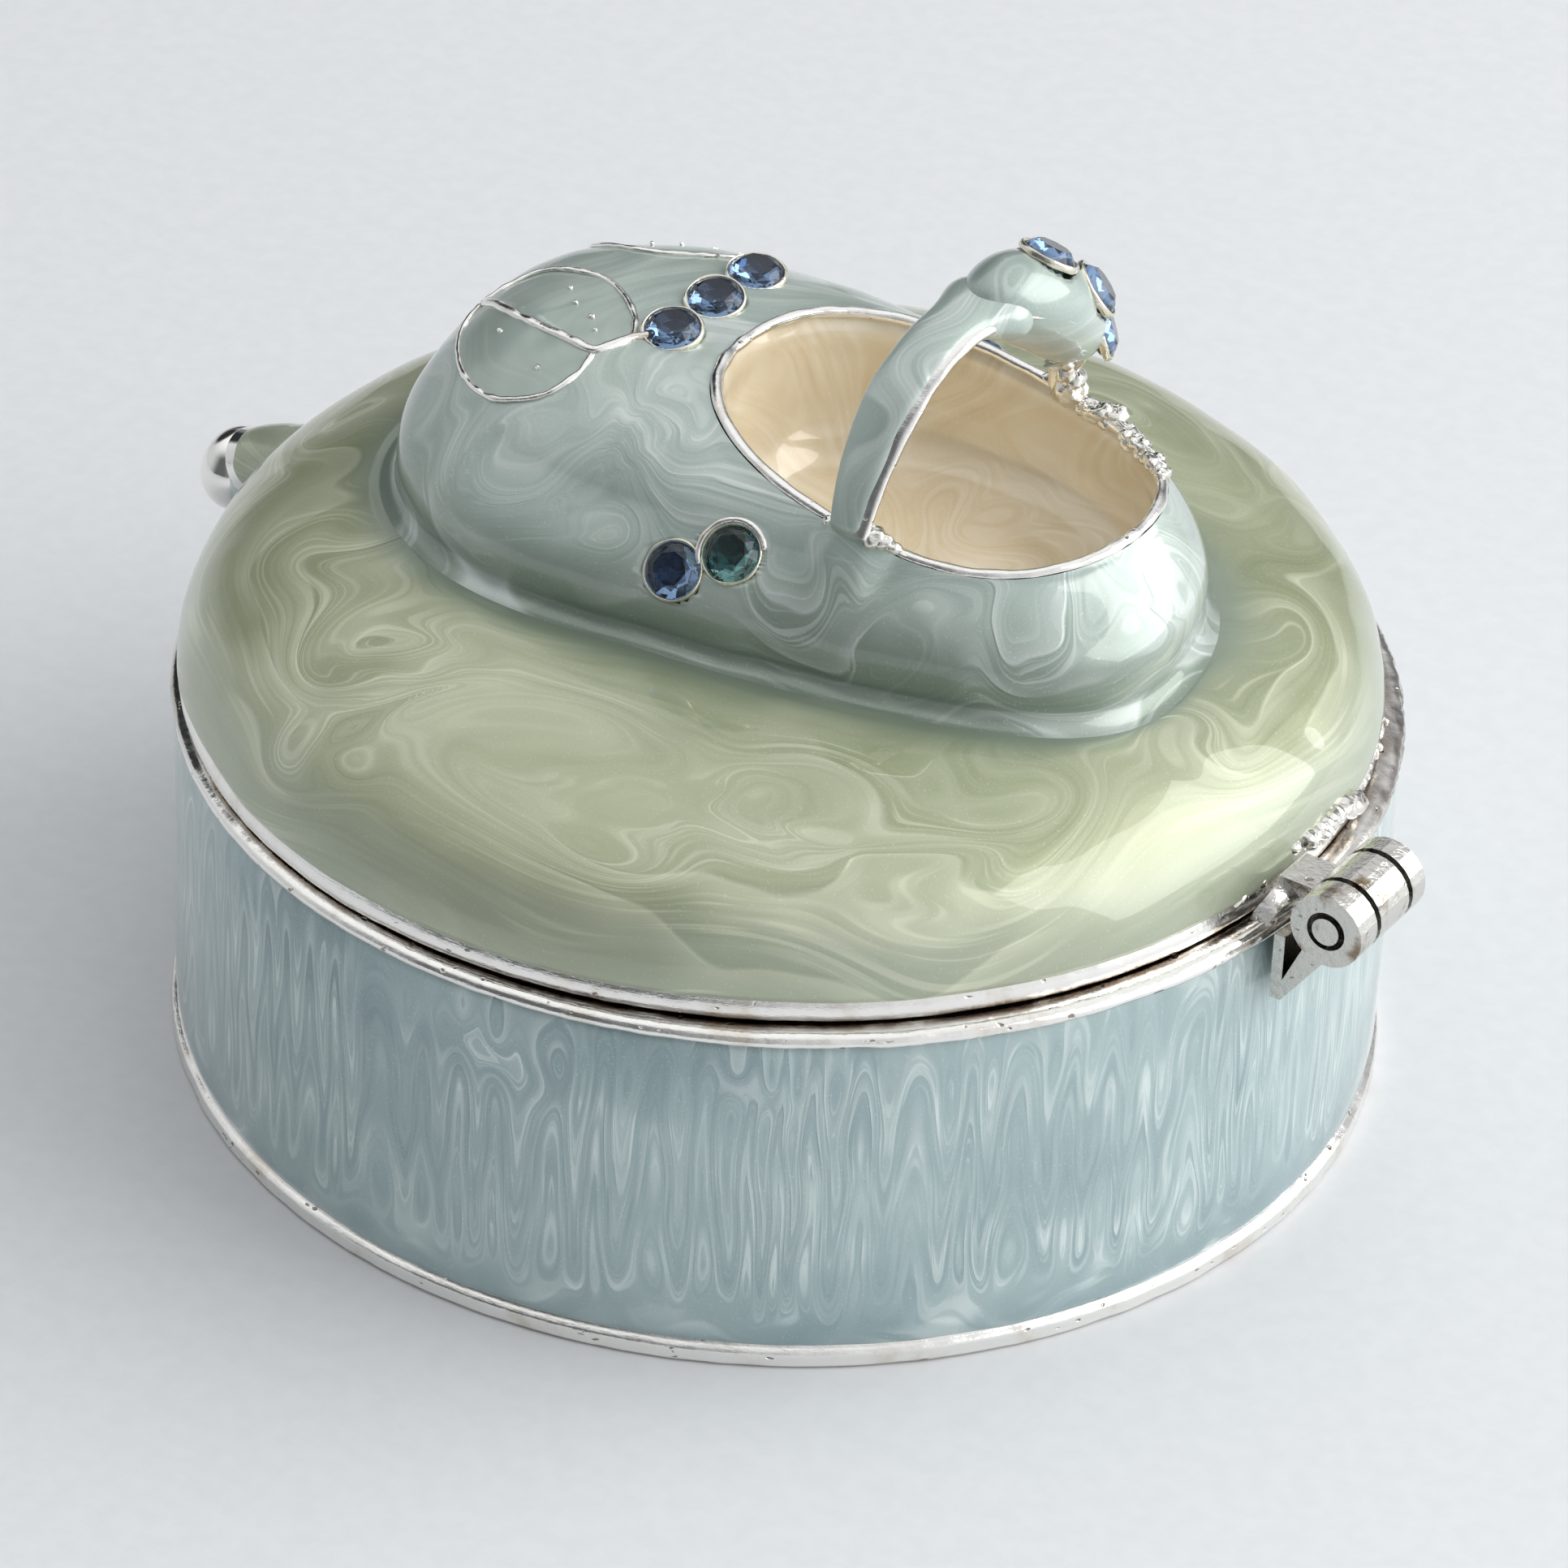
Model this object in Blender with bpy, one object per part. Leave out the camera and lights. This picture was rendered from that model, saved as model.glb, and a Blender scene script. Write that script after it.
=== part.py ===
# Hinged trinket box with a child's strap shoe on its lid: solids at real size, in metres, +Z up.
# Origin: centre of the underside. The hinge lies at +X, the thumb knob at -X.
import bpy
import bmesh
from math import asin, atan2, cos, exp, hypot, pi, radians, sin, sqrt
from mathutils import Matrix, Vector

mm = 0.001
fit_gap = 0.3 * mm  # left between two pieces that touch

# base pan
base_steps = 72
base_rim_radius = 25.4 * mm
base_wall_radius = 25.25 * mm
base_bore_radius = 23.9 * mm
base_height = 16.1 * mm
foot_rim_height = 0.9 * mm
top_rim_height = 0.65 * mm
floor_thickness = 1.5 * mm
floor_corner = 0.8 * mm
edge_chamfer = 0.15 * mm

# lid dome
lid_steps = 60
lid_center = (-0.4 * mm, 0.0)
lid_radius = 24.75 * mm
lid_bottom = base_height + fit_gap
dome_rise = 6.5 * mm
dome_flatness = 6.0  # higher keeps the top flat further out
dome_roundness = 2.2
lid_thickness = 1.5 * mm
lid_band_height = 0.7 * mm

# shoe on the lid
shoe_center = (-0.5 * mm, 1.5 * mm)
shoe_toe_length = 17.0 * mm
shoe_heel_length = 17.0 * mm
shoe_half_width = 10.8 * mm
shoe_heel_taper = 0.09  # half width lost per unit of length towards the heel
shoe_corner = 2.5  # squareness of the sole's outline
shoe_height = 7.5 * mm
vault_round = 3.5  # shape of the upper across the shoe
toe_upright = 4.4  # added where the upper turns round the toe
heel_upright = 5.3  # added where the upper turns round the heel
wall_belly = 0.3 * mm  # how far the upper's walls swell out above the sole
belly_top = 0.65  # share of the upper's height where the walls meet its top
wall_upright_top = 0.3  # share of the height up to which a fuller wall stands out whole
# where the walls stand fuller, as (heading from the shoe's middle, spread, share of the reach added)
fuller_walls = [
    (radians(-120.0), radians(25.0), 0.075),
    (radians(-70.0), radians(40.0), 0.040),
    (radians(-20.0), radians(24.0), 0.090),
]
shoe_base = lid_bottom + dome_rise - 0.2 * mm
sole_fillet = 0.5 * mm
insole_rise = 0.8 * mm

# foot opening, measured from the middle of the shoe
mouth_center = (6.1 * mm, -0.1 * mm)
mouth_half_length = 9.6 * mm
mouth_half_width = 7.4 * mm
mouth_corner = 2.2
mouth_rim_width = 0.6 * mm
# the hollow under it, as (share of its depth, share of the opening's size)
hollow_rows = [(0.0, 1.0), (0.3, 1.02), (0.6, 1.0), (0.8, 0.94), (0.94, 0.82), (1.0, 0.62)]

# thumb knob
knob_radius = 1.5 * mm
knob_center = Vector((-28.1 * mm, 0.0, 15.8 * mm))
knob_neck_radius = 0.8 * mm
knob_neck_height = 17.6 * mm
knob_neck_end = -24.0 * mm

# strap over the foot opening
strap_turn = radians(8.0)
strap_center = Vector((6.9 * mm, 0.6 * mm, 28.9 * mm))
strap_half_span = 7.1 * mm
strap_rise = 6.3 * mm
strap_width = 2.5 * mm
strap_thickness = 0.9 * mm
strap_shift = 0.2 * mm  # of the strap towards the heel, under its crest
far_foot_length = 0.16  # share of the strap over which it narrows to its far foot
far_foot_narrowing = 0.45
far_foot_shift = -0.65 * mm
strap_steps = 24
strap_foot_clearance = 0.35 * mm
strap_sides = 10
crest_from = radians(16.0)
crest_to = radians(85.0)
crest_half_width = 2.2 * mm
crest_height = 1.6 * mm
crest_roundness = 2.2
crest_end = 0.12  # smallest share of the crest's section, at its two ends
crest_steps = 12
crest_sides = 8

# stones: a row across the vamp, as (along, across) from the shoe's middle, a pair on each side, as
# (along, share of the upper's height), and a row on the strap's crest, as angles of its arch
motif_middle = 1.7 * mm
vamp_stones = [(-5.9 * mm, motif_middle + step) for step in (-3.1 * mm, 0.0, 3.0 * mm)]
side_stones = [(0.5 * mm, 0.44), (2.5 * mm, 0.57)]
crest_stones = [radians(68.0), radians(44.0), radians(19.0)]
stone_radius = 1.16 * mm
stone_table = 0.62  # share of the radius
stone_crown = 0.45 * mm
stone_girdle = 0.12 * mm
stone_pavilion = 0.55 * mm
stone_culet = 0.4 * mm
stone_sides = 12
seat_gap = 0.3 * mm
stone_lift = 0.0

# hinge
hinge_x = 27.7 * mm
hinge_y = -1.45 * mm
hinge_z = 17.15 * mm
barrel_radius = 1.6 * mm
barrel_half_length = 2.55 * mm
barrel_steps = 24
near_knuckle = 1.6 * mm
far_knuckle = 1.3 * mm
pin_radius = 0.6 * mm
pin_clearance = 0.25 * mm
leaf_thickness = 0.5 * mm
leaf_top = -1.1 * mm  # from the hinge's axis
leaf_drop = 4.1 * mm
leaf_sweep = 0.95 * barrel_radius
leaf_steps = 3
leaf_inset = 0.1 * mm  # how far a leaf stops short of the ends of its knuckles
tab_low = -0.4 * mm  # above the hinge's axis
tab_high = 0.45 * mm
pin_overhang = 0.05 * mm


def clear_scene():
    for obj in list(bpy.data.objects):
        bpy.data.objects.remove(obj, do_unlink=True)


def finish(name, color, roughness, metallic):
    material = bpy.data.materials.new(name)
    material.use_nodes = True
    shader = material.node_tree.nodes["Principled BSDF"]
    shader.inputs["Base Color"].default_value = (*color, 1.0)
    shader.inputs["Roughness"].default_value = roughness
    shader.inputs["Metallic"].default_value = metallic
    return material


def new_object(name, mesh, material=None):
    obj = bpy.data.objects.new(name, mesh)
    bpy.context.scene.collection.objects.link(obj)
    if material:
        mesh.materials.append(material)
    return obj


def tidy_mesh(bm, name, smooth_angle=radians(40.0)):
    bmesh.ops.recalc_face_normals(bm, faces=bm.faces)
    if bm.calc_volume(signed=True) < 0:
        bmesh.ops.reverse_faces(bm, faces=bm.faces)
    for face in bm.faces:
        face.smooth = True
    for edge in bm.edges:
        edge.smooth = len(edge.link_faces) == 2 and edge.calc_face_angle(0.0) < smooth_angle
    mesh = bpy.data.meshes.new(name)
    bm.to_mesh(mesh)
    bm.free()
    return mesh


# A closed skin over rings of points. A ring of one point closes an end.
def skin(rings, name):
    bm = bmesh.new()
    loops = [[bm.verts.new(point) for point in ring] for ring in rings]
    for low, high in zip(loops, loops[1:]):
        count = max(len(low), len(high))
        for i in range(count):
            j = (i + 1) % count
            if len(low) == 1:
                bm.faces.new((low[0], high[i], high[j]))
            elif len(high) == 1:
                bm.faces.new((low[i], low[j], high[0]))
            else:
                bm.faces.new((low[i], low[j], high[j], high[i]))
    for loop in (loops[0], loops[-1]):
        if len(loop) > 1:
            bm.faces.new(loop)
    return tidy_mesh(bm, name)


def circle_ring(radius, z, steps, center=(0.0, 0.0)):
    if radius == 0.0:
        return [Vector((*center, z))]
    angles = [2 * pi * i / steps for i in range(steps)]
    return [Vector((center[0] + radius * cos(a), center[1] + radius * sin(a), z)) for a in angles]


def signed_power(value, exponent):
    return abs(value) ** exponent * (1 if value >= 0 else -1)


# Base pan: foot rim, set-back enamel wall, top rim, bore and floor.
def make_base(material):
    top = base_height
    floor = floor_thickness
    profile = [
        (0.0, 0.0),
        (base_rim_radius - edge_chamfer, 0.0),
        (base_rim_radius, edge_chamfer),
        (base_rim_radius, foot_rim_height - edge_chamfer),
        (base_wall_radius, foot_rim_height),
        (base_wall_radius, top - top_rim_height),
        (base_rim_radius, top - top_rim_height + edge_chamfer),
        (base_rim_radius, top - edge_chamfer),
        (base_rim_radius - edge_chamfer, top),
        (base_bore_radius + edge_chamfer, top),
        (base_bore_radius, top - edge_chamfer),
        (base_bore_radius, floor + floor_corner),
        (base_bore_radius - floor_corner, floor),
        (0.0, floor),
    ]
    rings = [circle_ring(radius, z, base_steps) for radius, z in profile]
    return new_object("box_base", skin(rings, "box_base"), material)


# Height of the dome over a plan position; inset gives the inner skin.
def dome_height(x, y, inset=0.0):
    share = hypot(x - lid_center[0], y - lid_center[1]) / (lid_radius - inset)
    rise = (dome_rise - inset) * max(0.0, 1 - share**dome_flatness) ** (1 / dome_roundness)
    return lid_bottom + rise


def dome_radius(level, inset=0.0):
    return (lid_radius - inset) * (1 - level**dome_roundness) ** (1 / dome_flatness)


def shoe_to_lid(u, v):
    return shoe_center[0] + u, shoe_center[1] + v


def sole_width(u):
    return shoe_half_width - shoe_heel_taper * u


def sole_length(u):
    return shoe_toe_length if u < 0 else shoe_heel_length


# A point of the sole's outline, pushed out by offset.
def sole_point(angle, offset=0.0):
    c = signed_power(cos(angle), 2 / shoe_corner)
    s = signed_power(sin(angle), 2 / shoe_corner)
    u = sole_length(c) * c
    v = sole_width(u) * s
    reach = 1 + offset / hypot(u, v)
    return u * reach, v * reach


def upper_exponent(u, v):
    along = u / sole_length(u)
    across = v / sole_width(u)
    facing = along / max(hypot(along, across), 1e-9)
    return vault_round + (toe_upright if facing < 0 else heel_upright) * facing**4


# Height of the shoe's upper over (u, v), as an arched form that stands steeper at the heel.
def upper_height(u, v):
    along = abs(u / sole_length(u)) ** shoe_corner
    across = abs(v / sole_width(u)) ** shoe_corner
    share = min(1.0, (along + across) ** (1 / shoe_corner))
    exponent = upper_exponent(u, v)
    return shoe_base + shoe_height * (1 - share**exponent) ** 0.5


def upper_ring_point(angle, level):
    u, v = sole_point(angle)
    share = (1 - level**2) ** (1 / upper_exponent(u, v))
    return u * share, v * share


def mouth_point(angle, inward=0.0):
    u = (mouth_half_length - inward) * signed_power(cos(angle), 2 / mouth_corner)
    v = (mouth_half_width - inward) * signed_power(sin(angle), 2 / mouth_corner)
    return mouth_center[0] + u, mouth_center[1] + v


def blend(start, end, share):
    return start[0] + (end[0] - start[0]) * share, start[1] + (end[1] - start[1]) * share


def shoe_vertex(uv, z):
    return Vector((*shoe_to_lid(*uv), z))


def smooth_step(value, low, high):
    share = min(max((value - low) / (high - low), 0.0), 1.0)
    return share * share * (3 - 2 * share)


# A point of the shoe's outside: the walls swell out above the sole, and stand fuller at the given headings.
def outer_vertex(uv, z):
    u, v = uv
    reach = hypot(u, v)
    level = (z - shoe_base) / shoe_height
    grow = wall_belly * sin(pi * min(max(level / belly_top, 0.0), 1.0)) / reach
    upright = 1 - smooth_step(level, wall_upright_top, belly_top)
    for heading, spread, share in fuller_walls:
        away = (atan2(v, u) - heading + pi) % (2 * pi) - pi
        grow += share * upright * exp(-((away / spread) ** 2))
    return shoe_vertex((u * (1 + grow), v * (1 + grow)), z)


# A point on the side of the shoe's inside, which is a bowl below the foot opening.
def hollow_vertex(angle, depth, size):
    uv = blend(mouth_center, mouth_point(angle, mouth_rim_width), size)
    top = upper_height(*mouth_point(angle))
    return shoe_vertex(uv, top + (shoe_base + insole_rise - top) * depth)


# One skin: underside of the dome, rim, dome, fillet, shoe, foot opening and the shoe's inside.
def lid_rings():
    angles = [2 * pi * i / lid_steps for i in range(lid_steps)]
    rings = []
    for radius in (0.0, 8 * mm, 14 * mm):
        height = dome_height(lid_center[0] + radius, lid_center[1], lid_thickness)
        rings.append(circle_ring(radius, height, lid_steps, lid_center))
    for level in (0.88, 0.72, 0.52, 0.3):
        height = lid_bottom + (dome_rise - lid_thickness) * level
        rings.append(circle_ring(dome_radius(level, lid_thickness), height, lid_steps, lid_center))
    rings.append(circle_ring(lid_radius - lid_thickness, lid_bottom, lid_steps, lid_center))
    rings.append(circle_ring(lid_radius - edge_chamfer, lid_bottom, lid_steps, lid_center))
    rings.append(circle_ring(lid_radius, lid_bottom + edge_chamfer, lid_steps, lid_center))
    for level in (lid_band_height / dome_rise, 0.28, 0.45, 0.6, 0.73, 0.83):
        rings.append(circle_ring(dome_radius(level), lid_bottom + dome_rise * level, lid_steps, lid_center))
    shoulder = dome_radius(0.89)
    for share in (0.0, 0.35, 0.7, 1.0):
        ring = []
        for angle in angles:
            edge = (lid_center[0] + shoulder * cos(angle), lid_center[1] + shoulder * sin(angle))
            x, y = blend(edge, outer_vertex(sole_point(angle, offset=sole_fillet), shoe_base), share)
            ring.append(Vector((x, y, dome_height(x, y))))
        rings.append(ring)
    for turn in (0.35 * pi, 0.25 * pi, 0.12 * pi):
        ring = []
        for angle in angles:
            x, y, _ = outer_vertex(sole_point(angle, offset=sole_fillet * (1 - cos(turn))), shoe_base)
            ring.append(Vector((x, y, dome_height(x, y) + sole_fillet * (1 - sin(turn)))))
        rings.append(ring)
    for level in (0.2, 0.35, 0.5):
        ring = []
        for angle in angles:
            uv = upper_ring_point(angle, level)
            ring.append(outer_vertex(uv, upper_height(*uv)))
        rings.append(ring)
    for share in (0.15, 0.32, 0.5, 0.68, 0.85, 1.0):
        ring = []
        for angle in angles:
            uv = blend(upper_ring_point(angle, 0.5), mouth_point(angle), share)
            ring.append(outer_vertex(uv, upper_height(*uv)))
        rings.append(ring)
    for depth, size in hollow_rows:
        rings.append([hollow_vertex(angle, depth, size) for angle in angles])
    rings.append([shoe_vertex(mouth_center, shoe_base + insole_rise)])
    return rings


# A round or many-sided bar between two points.
def bar(name, start, end, start_radius, end_radius, steps):
    axis = (end - start).normalized()
    turn = axis.to_track_quat("Z", "Y").to_matrix()
    rings = []
    for point, radius in ((start, start_radius), (end, end_radius)):
        ring = []
        for i in range(steps):
            angle = 2 * pi * i / steps
            ring.append(point + turn @ Vector((radius * cos(angle), radius * sin(angle), 0.0)))
        rings.append(ring)
    return skin(rings, name)


def helper(name, mesh):
    obj = new_object(name, mesh)
    obj.hide_render = True
    obj.display_type = "WIRE"
    return obj


def boolean(obj, other, operation):
    modifier = obj.modifiers.new(other.name, "BOOLEAN")
    modifier.object = other
    modifier.operation = operation
    modifier.solver = "EXACT"


def ball(name, center, radius, steps, rows):
    bm = bmesh.new()
    bmesh.ops.create_uvsphere(bm, u_segments=steps, v_segments=rows, radius=radius)
    bmesh.ops.translate(bm, verts=bm.verts, vec=center)
    return tidy_mesh(bm, name)


# Where each stone sits, as a point and the direction that its table faces.
def upper_spot(u, v):
    step = 0.05 * mm
    point = outer_vertex((u, v), upper_height(u, v))
    along = outer_vertex((u + step, v), upper_height(u + step, v)) - point
    across = outer_vertex((u, v + step), upper_height(u, v + step)) - point
    return point, along.cross(across).normalized()


def side_spot(u, level, side):
    share = (1 - level**2) ** (1 / vault_round)
    across = (share**shoe_corner - abs(u / sole_length(u)) ** shoe_corner) ** (1 / shoe_corner)
    return upper_spot(u, side * sole_width(u) * across)


def stone_mesh(name):
    rings = []
    rows = (
        (stone_culet, -stone_pavilion),
        (stone_radius, 0.0),
        (stone_radius, stone_girdle),
        (stone_radius * stone_table, stone_girdle + stone_crown),
    )
    for radius, z in rows:
        rings.append(circle_ring(radius, z, stone_sides))
    return skin(rings, name)


def place_on(obj, point, normal):
    turn = normal.to_track_quat("Z", "Y").to_matrix().to_4x4()
    obj.matrix_world = Matrix.Translation(point) @ turn


def seat_mesh(name):
    slope = stone_pavilion / (stone_radius - stone_culet)
    wide = stone_radius + seat_gap
    rings = [
        circle_ring(stone_culet + seat_gap, -stone_pavilion - seat_gap, stone_sides),
        circle_ring(wide, -seat_gap * slope, stone_sides),
        circle_ring(wide, 2 * mm, stone_sides),
    ]
    return skin(rings, name)


# Place, outward direction and crosswise direction on the strap's arch. Its near leg is the straighter one.
def strap_frame(angle):
    across = Vector((cos(strap_turn), -sin(strap_turn), 0.0))
    span = Vector((sin(strap_turn), cos(strap_turn), 0.0))
    near = angle > pi / 2
    rise = strap_rise * sin(angle) ** (2 if near else 1)
    point = strap_center + span * strap_half_span * cos(angle) + Vector((0, 0, rise))
    outward = span * cos(angle) * strap_rise * (2 if near else 1)
    outward += Vector((0, 0, strap_half_span * (1 if near else sin(angle))))
    return point, outward.normalized(), across


# A bent bar of rounded section that follows the strap's arch.
def arch_skin(name, start, end, steps, section):
    rings = []
    for i in range(steps + 1):
        angle = start + (end - start) * i / steps
        point, outward, across = strap_frame(angle)
        ring = [point + across * a + outward * b for a, b in section(i / steps)]
        rings.append(ring)
    return skin(rings, name)


def strap_section(share):
    points = []
    low = 1 - smooth_step(share, 0.0, far_foot_length)
    half_width = strap_width / 2 * (1 - far_foot_narrowing * low)
    for i in range(strap_sides):
        turn = 2 * pi * i / strap_sides
        a = strap_shift + far_foot_shift * low + half_width * signed_power(cos(turn), 0.6)
        b = strap_thickness / 2 * signed_power(sin(turn), 0.6)
        points.append((a, b))
    return points


def crest_section(share):
    swell = max(crest_end, 1 - abs(2 * share - 1) ** crest_roundness) ** 0.5
    points = []
    for i in range(crest_sides + 1):
        turn = pi * i / crest_sides
        height = strap_thickness / 2 + crest_height * swell * sin(turn)
        points.append((crest_half_width * swell * cos(turn), height))
    points.append((-crest_half_width * swell, 0.0))
    points.append((crest_half_width * swell, 0.0))
    return points


def hinge_point(x, y, z):
    return Vector((hinge_x + x, hinge_y + y, hinge_z + z))


def knuckle(name, low, high, radius):
    return bar(name, hinge_point(0, low, 0), hinge_point(0, high, 0), radius, radius, barrel_steps)


# How far the outside of a round wall lies from the hinge's axis, at a place along the axis.
def wall_distance(radius, y, center_x=0.0):
    return center_x + sqrt((radius + fit_gap) ** 2 - (hinge_y + y) ** 2) - hinge_x


# A bar along the hinge whose outline, drawn across the axis, follows the round wall behind it.
def plate(name, outline_at, low, high):
    rings = []
    for i in range(leaf_steps + 1):
        y = low + (high - low) * i / leaf_steps
        rings.append([hinge_point(x, y, z) for x, z in outline_at(y)])
    return skin(rings, name)


# Hinge leaf on the base: a flange against the wall, a sloping web and a barrel with its middle cleared.
def make_base_leaf(material):
    low = -barrel_half_length
    high = barrel_half_length
    web_low = low + leaf_inset
    web_high = high - leaf_inset
    foot = -leaf_drop
    face = wall_distance(base_rim_radius, web_low) + leaf_thickness

    def outline_at(y):
        wall = wall_distance(base_rim_radius, y)
        return [
            (wall, leaf_top),
            (wall, foot),
            (face, foot),
            (0.0, -leaf_sweep),
            (-0.6 * barrel_radius, -0.75 * barrel_radius),
            (face, foot + 1.9 * leaf_thickness),
            (face, leaf_top),
        ]

    leaf = new_object("hinge_leaf_base", plate("hinge_leaf_base", outline_at, web_low, web_high), material)
    boolean(leaf, helper("base_knuckles", knuckle("base_knuckles", low, high, barrel_radius)), "UNION")
    middle_low = low + near_knuckle - fit_gap
    middle_high = high - far_knuckle + fit_gap
    clearing = knuckle("middle_clearing", middle_low, middle_high, barrel_radius + fit_gap)
    boolean(leaf, helper("middle_clearing", clearing), "DIFFERENCE")
    bore = knuckle("bore_base", low - mm, high + mm, pin_radius + pin_clearance)
    boolean(leaf, helper("bore_base", bore), "DIFFERENCE")
    return leaf


# Hinge leaf on the lid: the middle knuckle and the tab that reaches the lid's edge.
def make_lid_leaf(material):
    low = -barrel_half_length + near_knuckle
    high = barrel_half_length - far_knuckle
    leaf = new_object("hinge_leaf_lid", knuckle("hinge_leaf_lid", low, high, barrel_radius), material)

    def outline_at(y):
        edge = wall_distance(lid_radius, y, lid_center[0])
        return [(edge, tab_low), (0.0, tab_low), (0.0, tab_high), (edge, tab_high)]

    tab = plate("leaf_tab", outline_at, low + leaf_inset, high - leaf_inset)
    boolean(leaf, helper("leaf_tab", tab), "UNION")
    bore = knuckle("bore_lid", low - mm, high + mm, pin_radius + pin_clearance)
    boolean(leaf, helper("bore_lid", bore), "DIFFERENCE")
    return leaf


def make_pin(material):
    reach = barrel_half_length + pin_overhang
    return new_object("hinge_pin", knuckle("hinge_pin", -reach, reach, pin_radius), material)


def make_knob_form():
    ball_part = helper("knob_ball", ball("knob_ball", knob_center, knob_radius, 20, 12))
    start = Vector((knob_center.x, 0.0, knob_neck_height - 0.5 * mm))
    end = Vector((knob_neck_end, 0.0, knob_neck_height))
    neck = helper("knob_neck", bar("knob_neck", start, end, knob_neck_radius, knob_neck_radius * 1.3, 16))
    return neck, ball_part


def make_strap(material):
    far_foot = strap_foot_clearance / strap_rise
    near_foot = pi - asin(sqrt(strap_foot_clearance / strap_rise))
    arch = arch_skin("shoe_strap", far_foot, near_foot, strap_steps, strap_section)
    strap = new_object("shoe_strap", arch, material)
    crest = helper("strap_crest", arch_skin("strap_crest", crest_from, crest_to, crest_steps, crest_section))
    boolean(strap, crest, "UNION")
    return strap


def crest_spot(angle):
    point, outward, across = strap_frame(angle)
    return point + outward * (strap_thickness / 2 + crest_height), outward


# Each stone is an object of its own and has its seat cut into what carries it.
def set_stones(carrier, spots, name, material):
    for i, (point, normal) in enumerate(spots):
        point = point + normal * stone_lift
        stone = new_object(f"{name}_{i + 1}", stone_mesh(name), material)
        place_on(stone, point, normal)
        seat = helper(f"seat_{name}_{i + 1}", seat_mesh(f"seat_{name}"))
        place_on(seat, point, normal)
        boolean(carrier, seat, "DIFFERENCE")


clear_scene()
silver = finish("silver_plate", (0.82, 0.80, 0.76), 0.22, 1.0)
base_finish = finish("ice_blue_enamel", (0.62, 0.74, 0.78), 0.2, 0.0)
lid_finish = finish("sage_enamel", (0.60, 0.68, 0.55), 0.2, 0.0)
strap_finish = finish("aqua_enamel", (0.58, 0.70, 0.69), 0.2, 0.0)
stone_finish = finish("sapphire_glass", (0.06, 0.16, 0.42), 0.05, 0.0)

make_base(base_finish)
lid = new_object("lid", skin(lid_rings(), "lid"), lid_finish)
for part in make_knob_form():
    boolean(lid, part, "UNION")
strap = make_strap(strap_finish)
set_stones(lid, [upper_spot(*uv) for uv in vamp_stones], "vamp_stone", stone_finish)
set_stones(lid, [side_spot(*spot, -1) for spot in side_stones], "near_side_stone", stone_finish)
set_stones(lid, [side_spot(*spot, 1) for spot in side_stones], "far_side_stone", stone_finish)
set_stones(strap, [crest_spot(angle) for angle in crest_stones], "strap_stone", stone_finish)
make_base_leaf(silver)
make_lid_leaf(silver)
make_pin(silver)
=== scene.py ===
# Hinged enamel trinket box with a strap shoe on its lid: the looks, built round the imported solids.
import bpy
import numpy as np
from math import cos, pi, radians, sin
from mathutils import Matrix, Vector


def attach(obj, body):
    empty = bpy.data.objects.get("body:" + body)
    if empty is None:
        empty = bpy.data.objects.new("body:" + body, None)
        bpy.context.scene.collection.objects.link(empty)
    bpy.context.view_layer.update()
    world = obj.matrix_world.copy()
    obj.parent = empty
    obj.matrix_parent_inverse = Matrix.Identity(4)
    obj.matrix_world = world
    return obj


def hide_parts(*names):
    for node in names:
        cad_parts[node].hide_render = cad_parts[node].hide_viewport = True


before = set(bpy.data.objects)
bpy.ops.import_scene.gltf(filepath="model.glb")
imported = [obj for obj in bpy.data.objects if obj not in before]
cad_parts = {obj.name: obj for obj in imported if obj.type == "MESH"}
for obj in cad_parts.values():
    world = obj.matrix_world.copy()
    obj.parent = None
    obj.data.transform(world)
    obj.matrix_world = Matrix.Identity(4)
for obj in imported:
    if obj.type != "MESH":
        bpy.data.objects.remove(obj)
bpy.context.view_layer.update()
print("frame loaded")

mm = 0.001  # lengths are in millimetres until a mesh, a light or the camera is made


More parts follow.
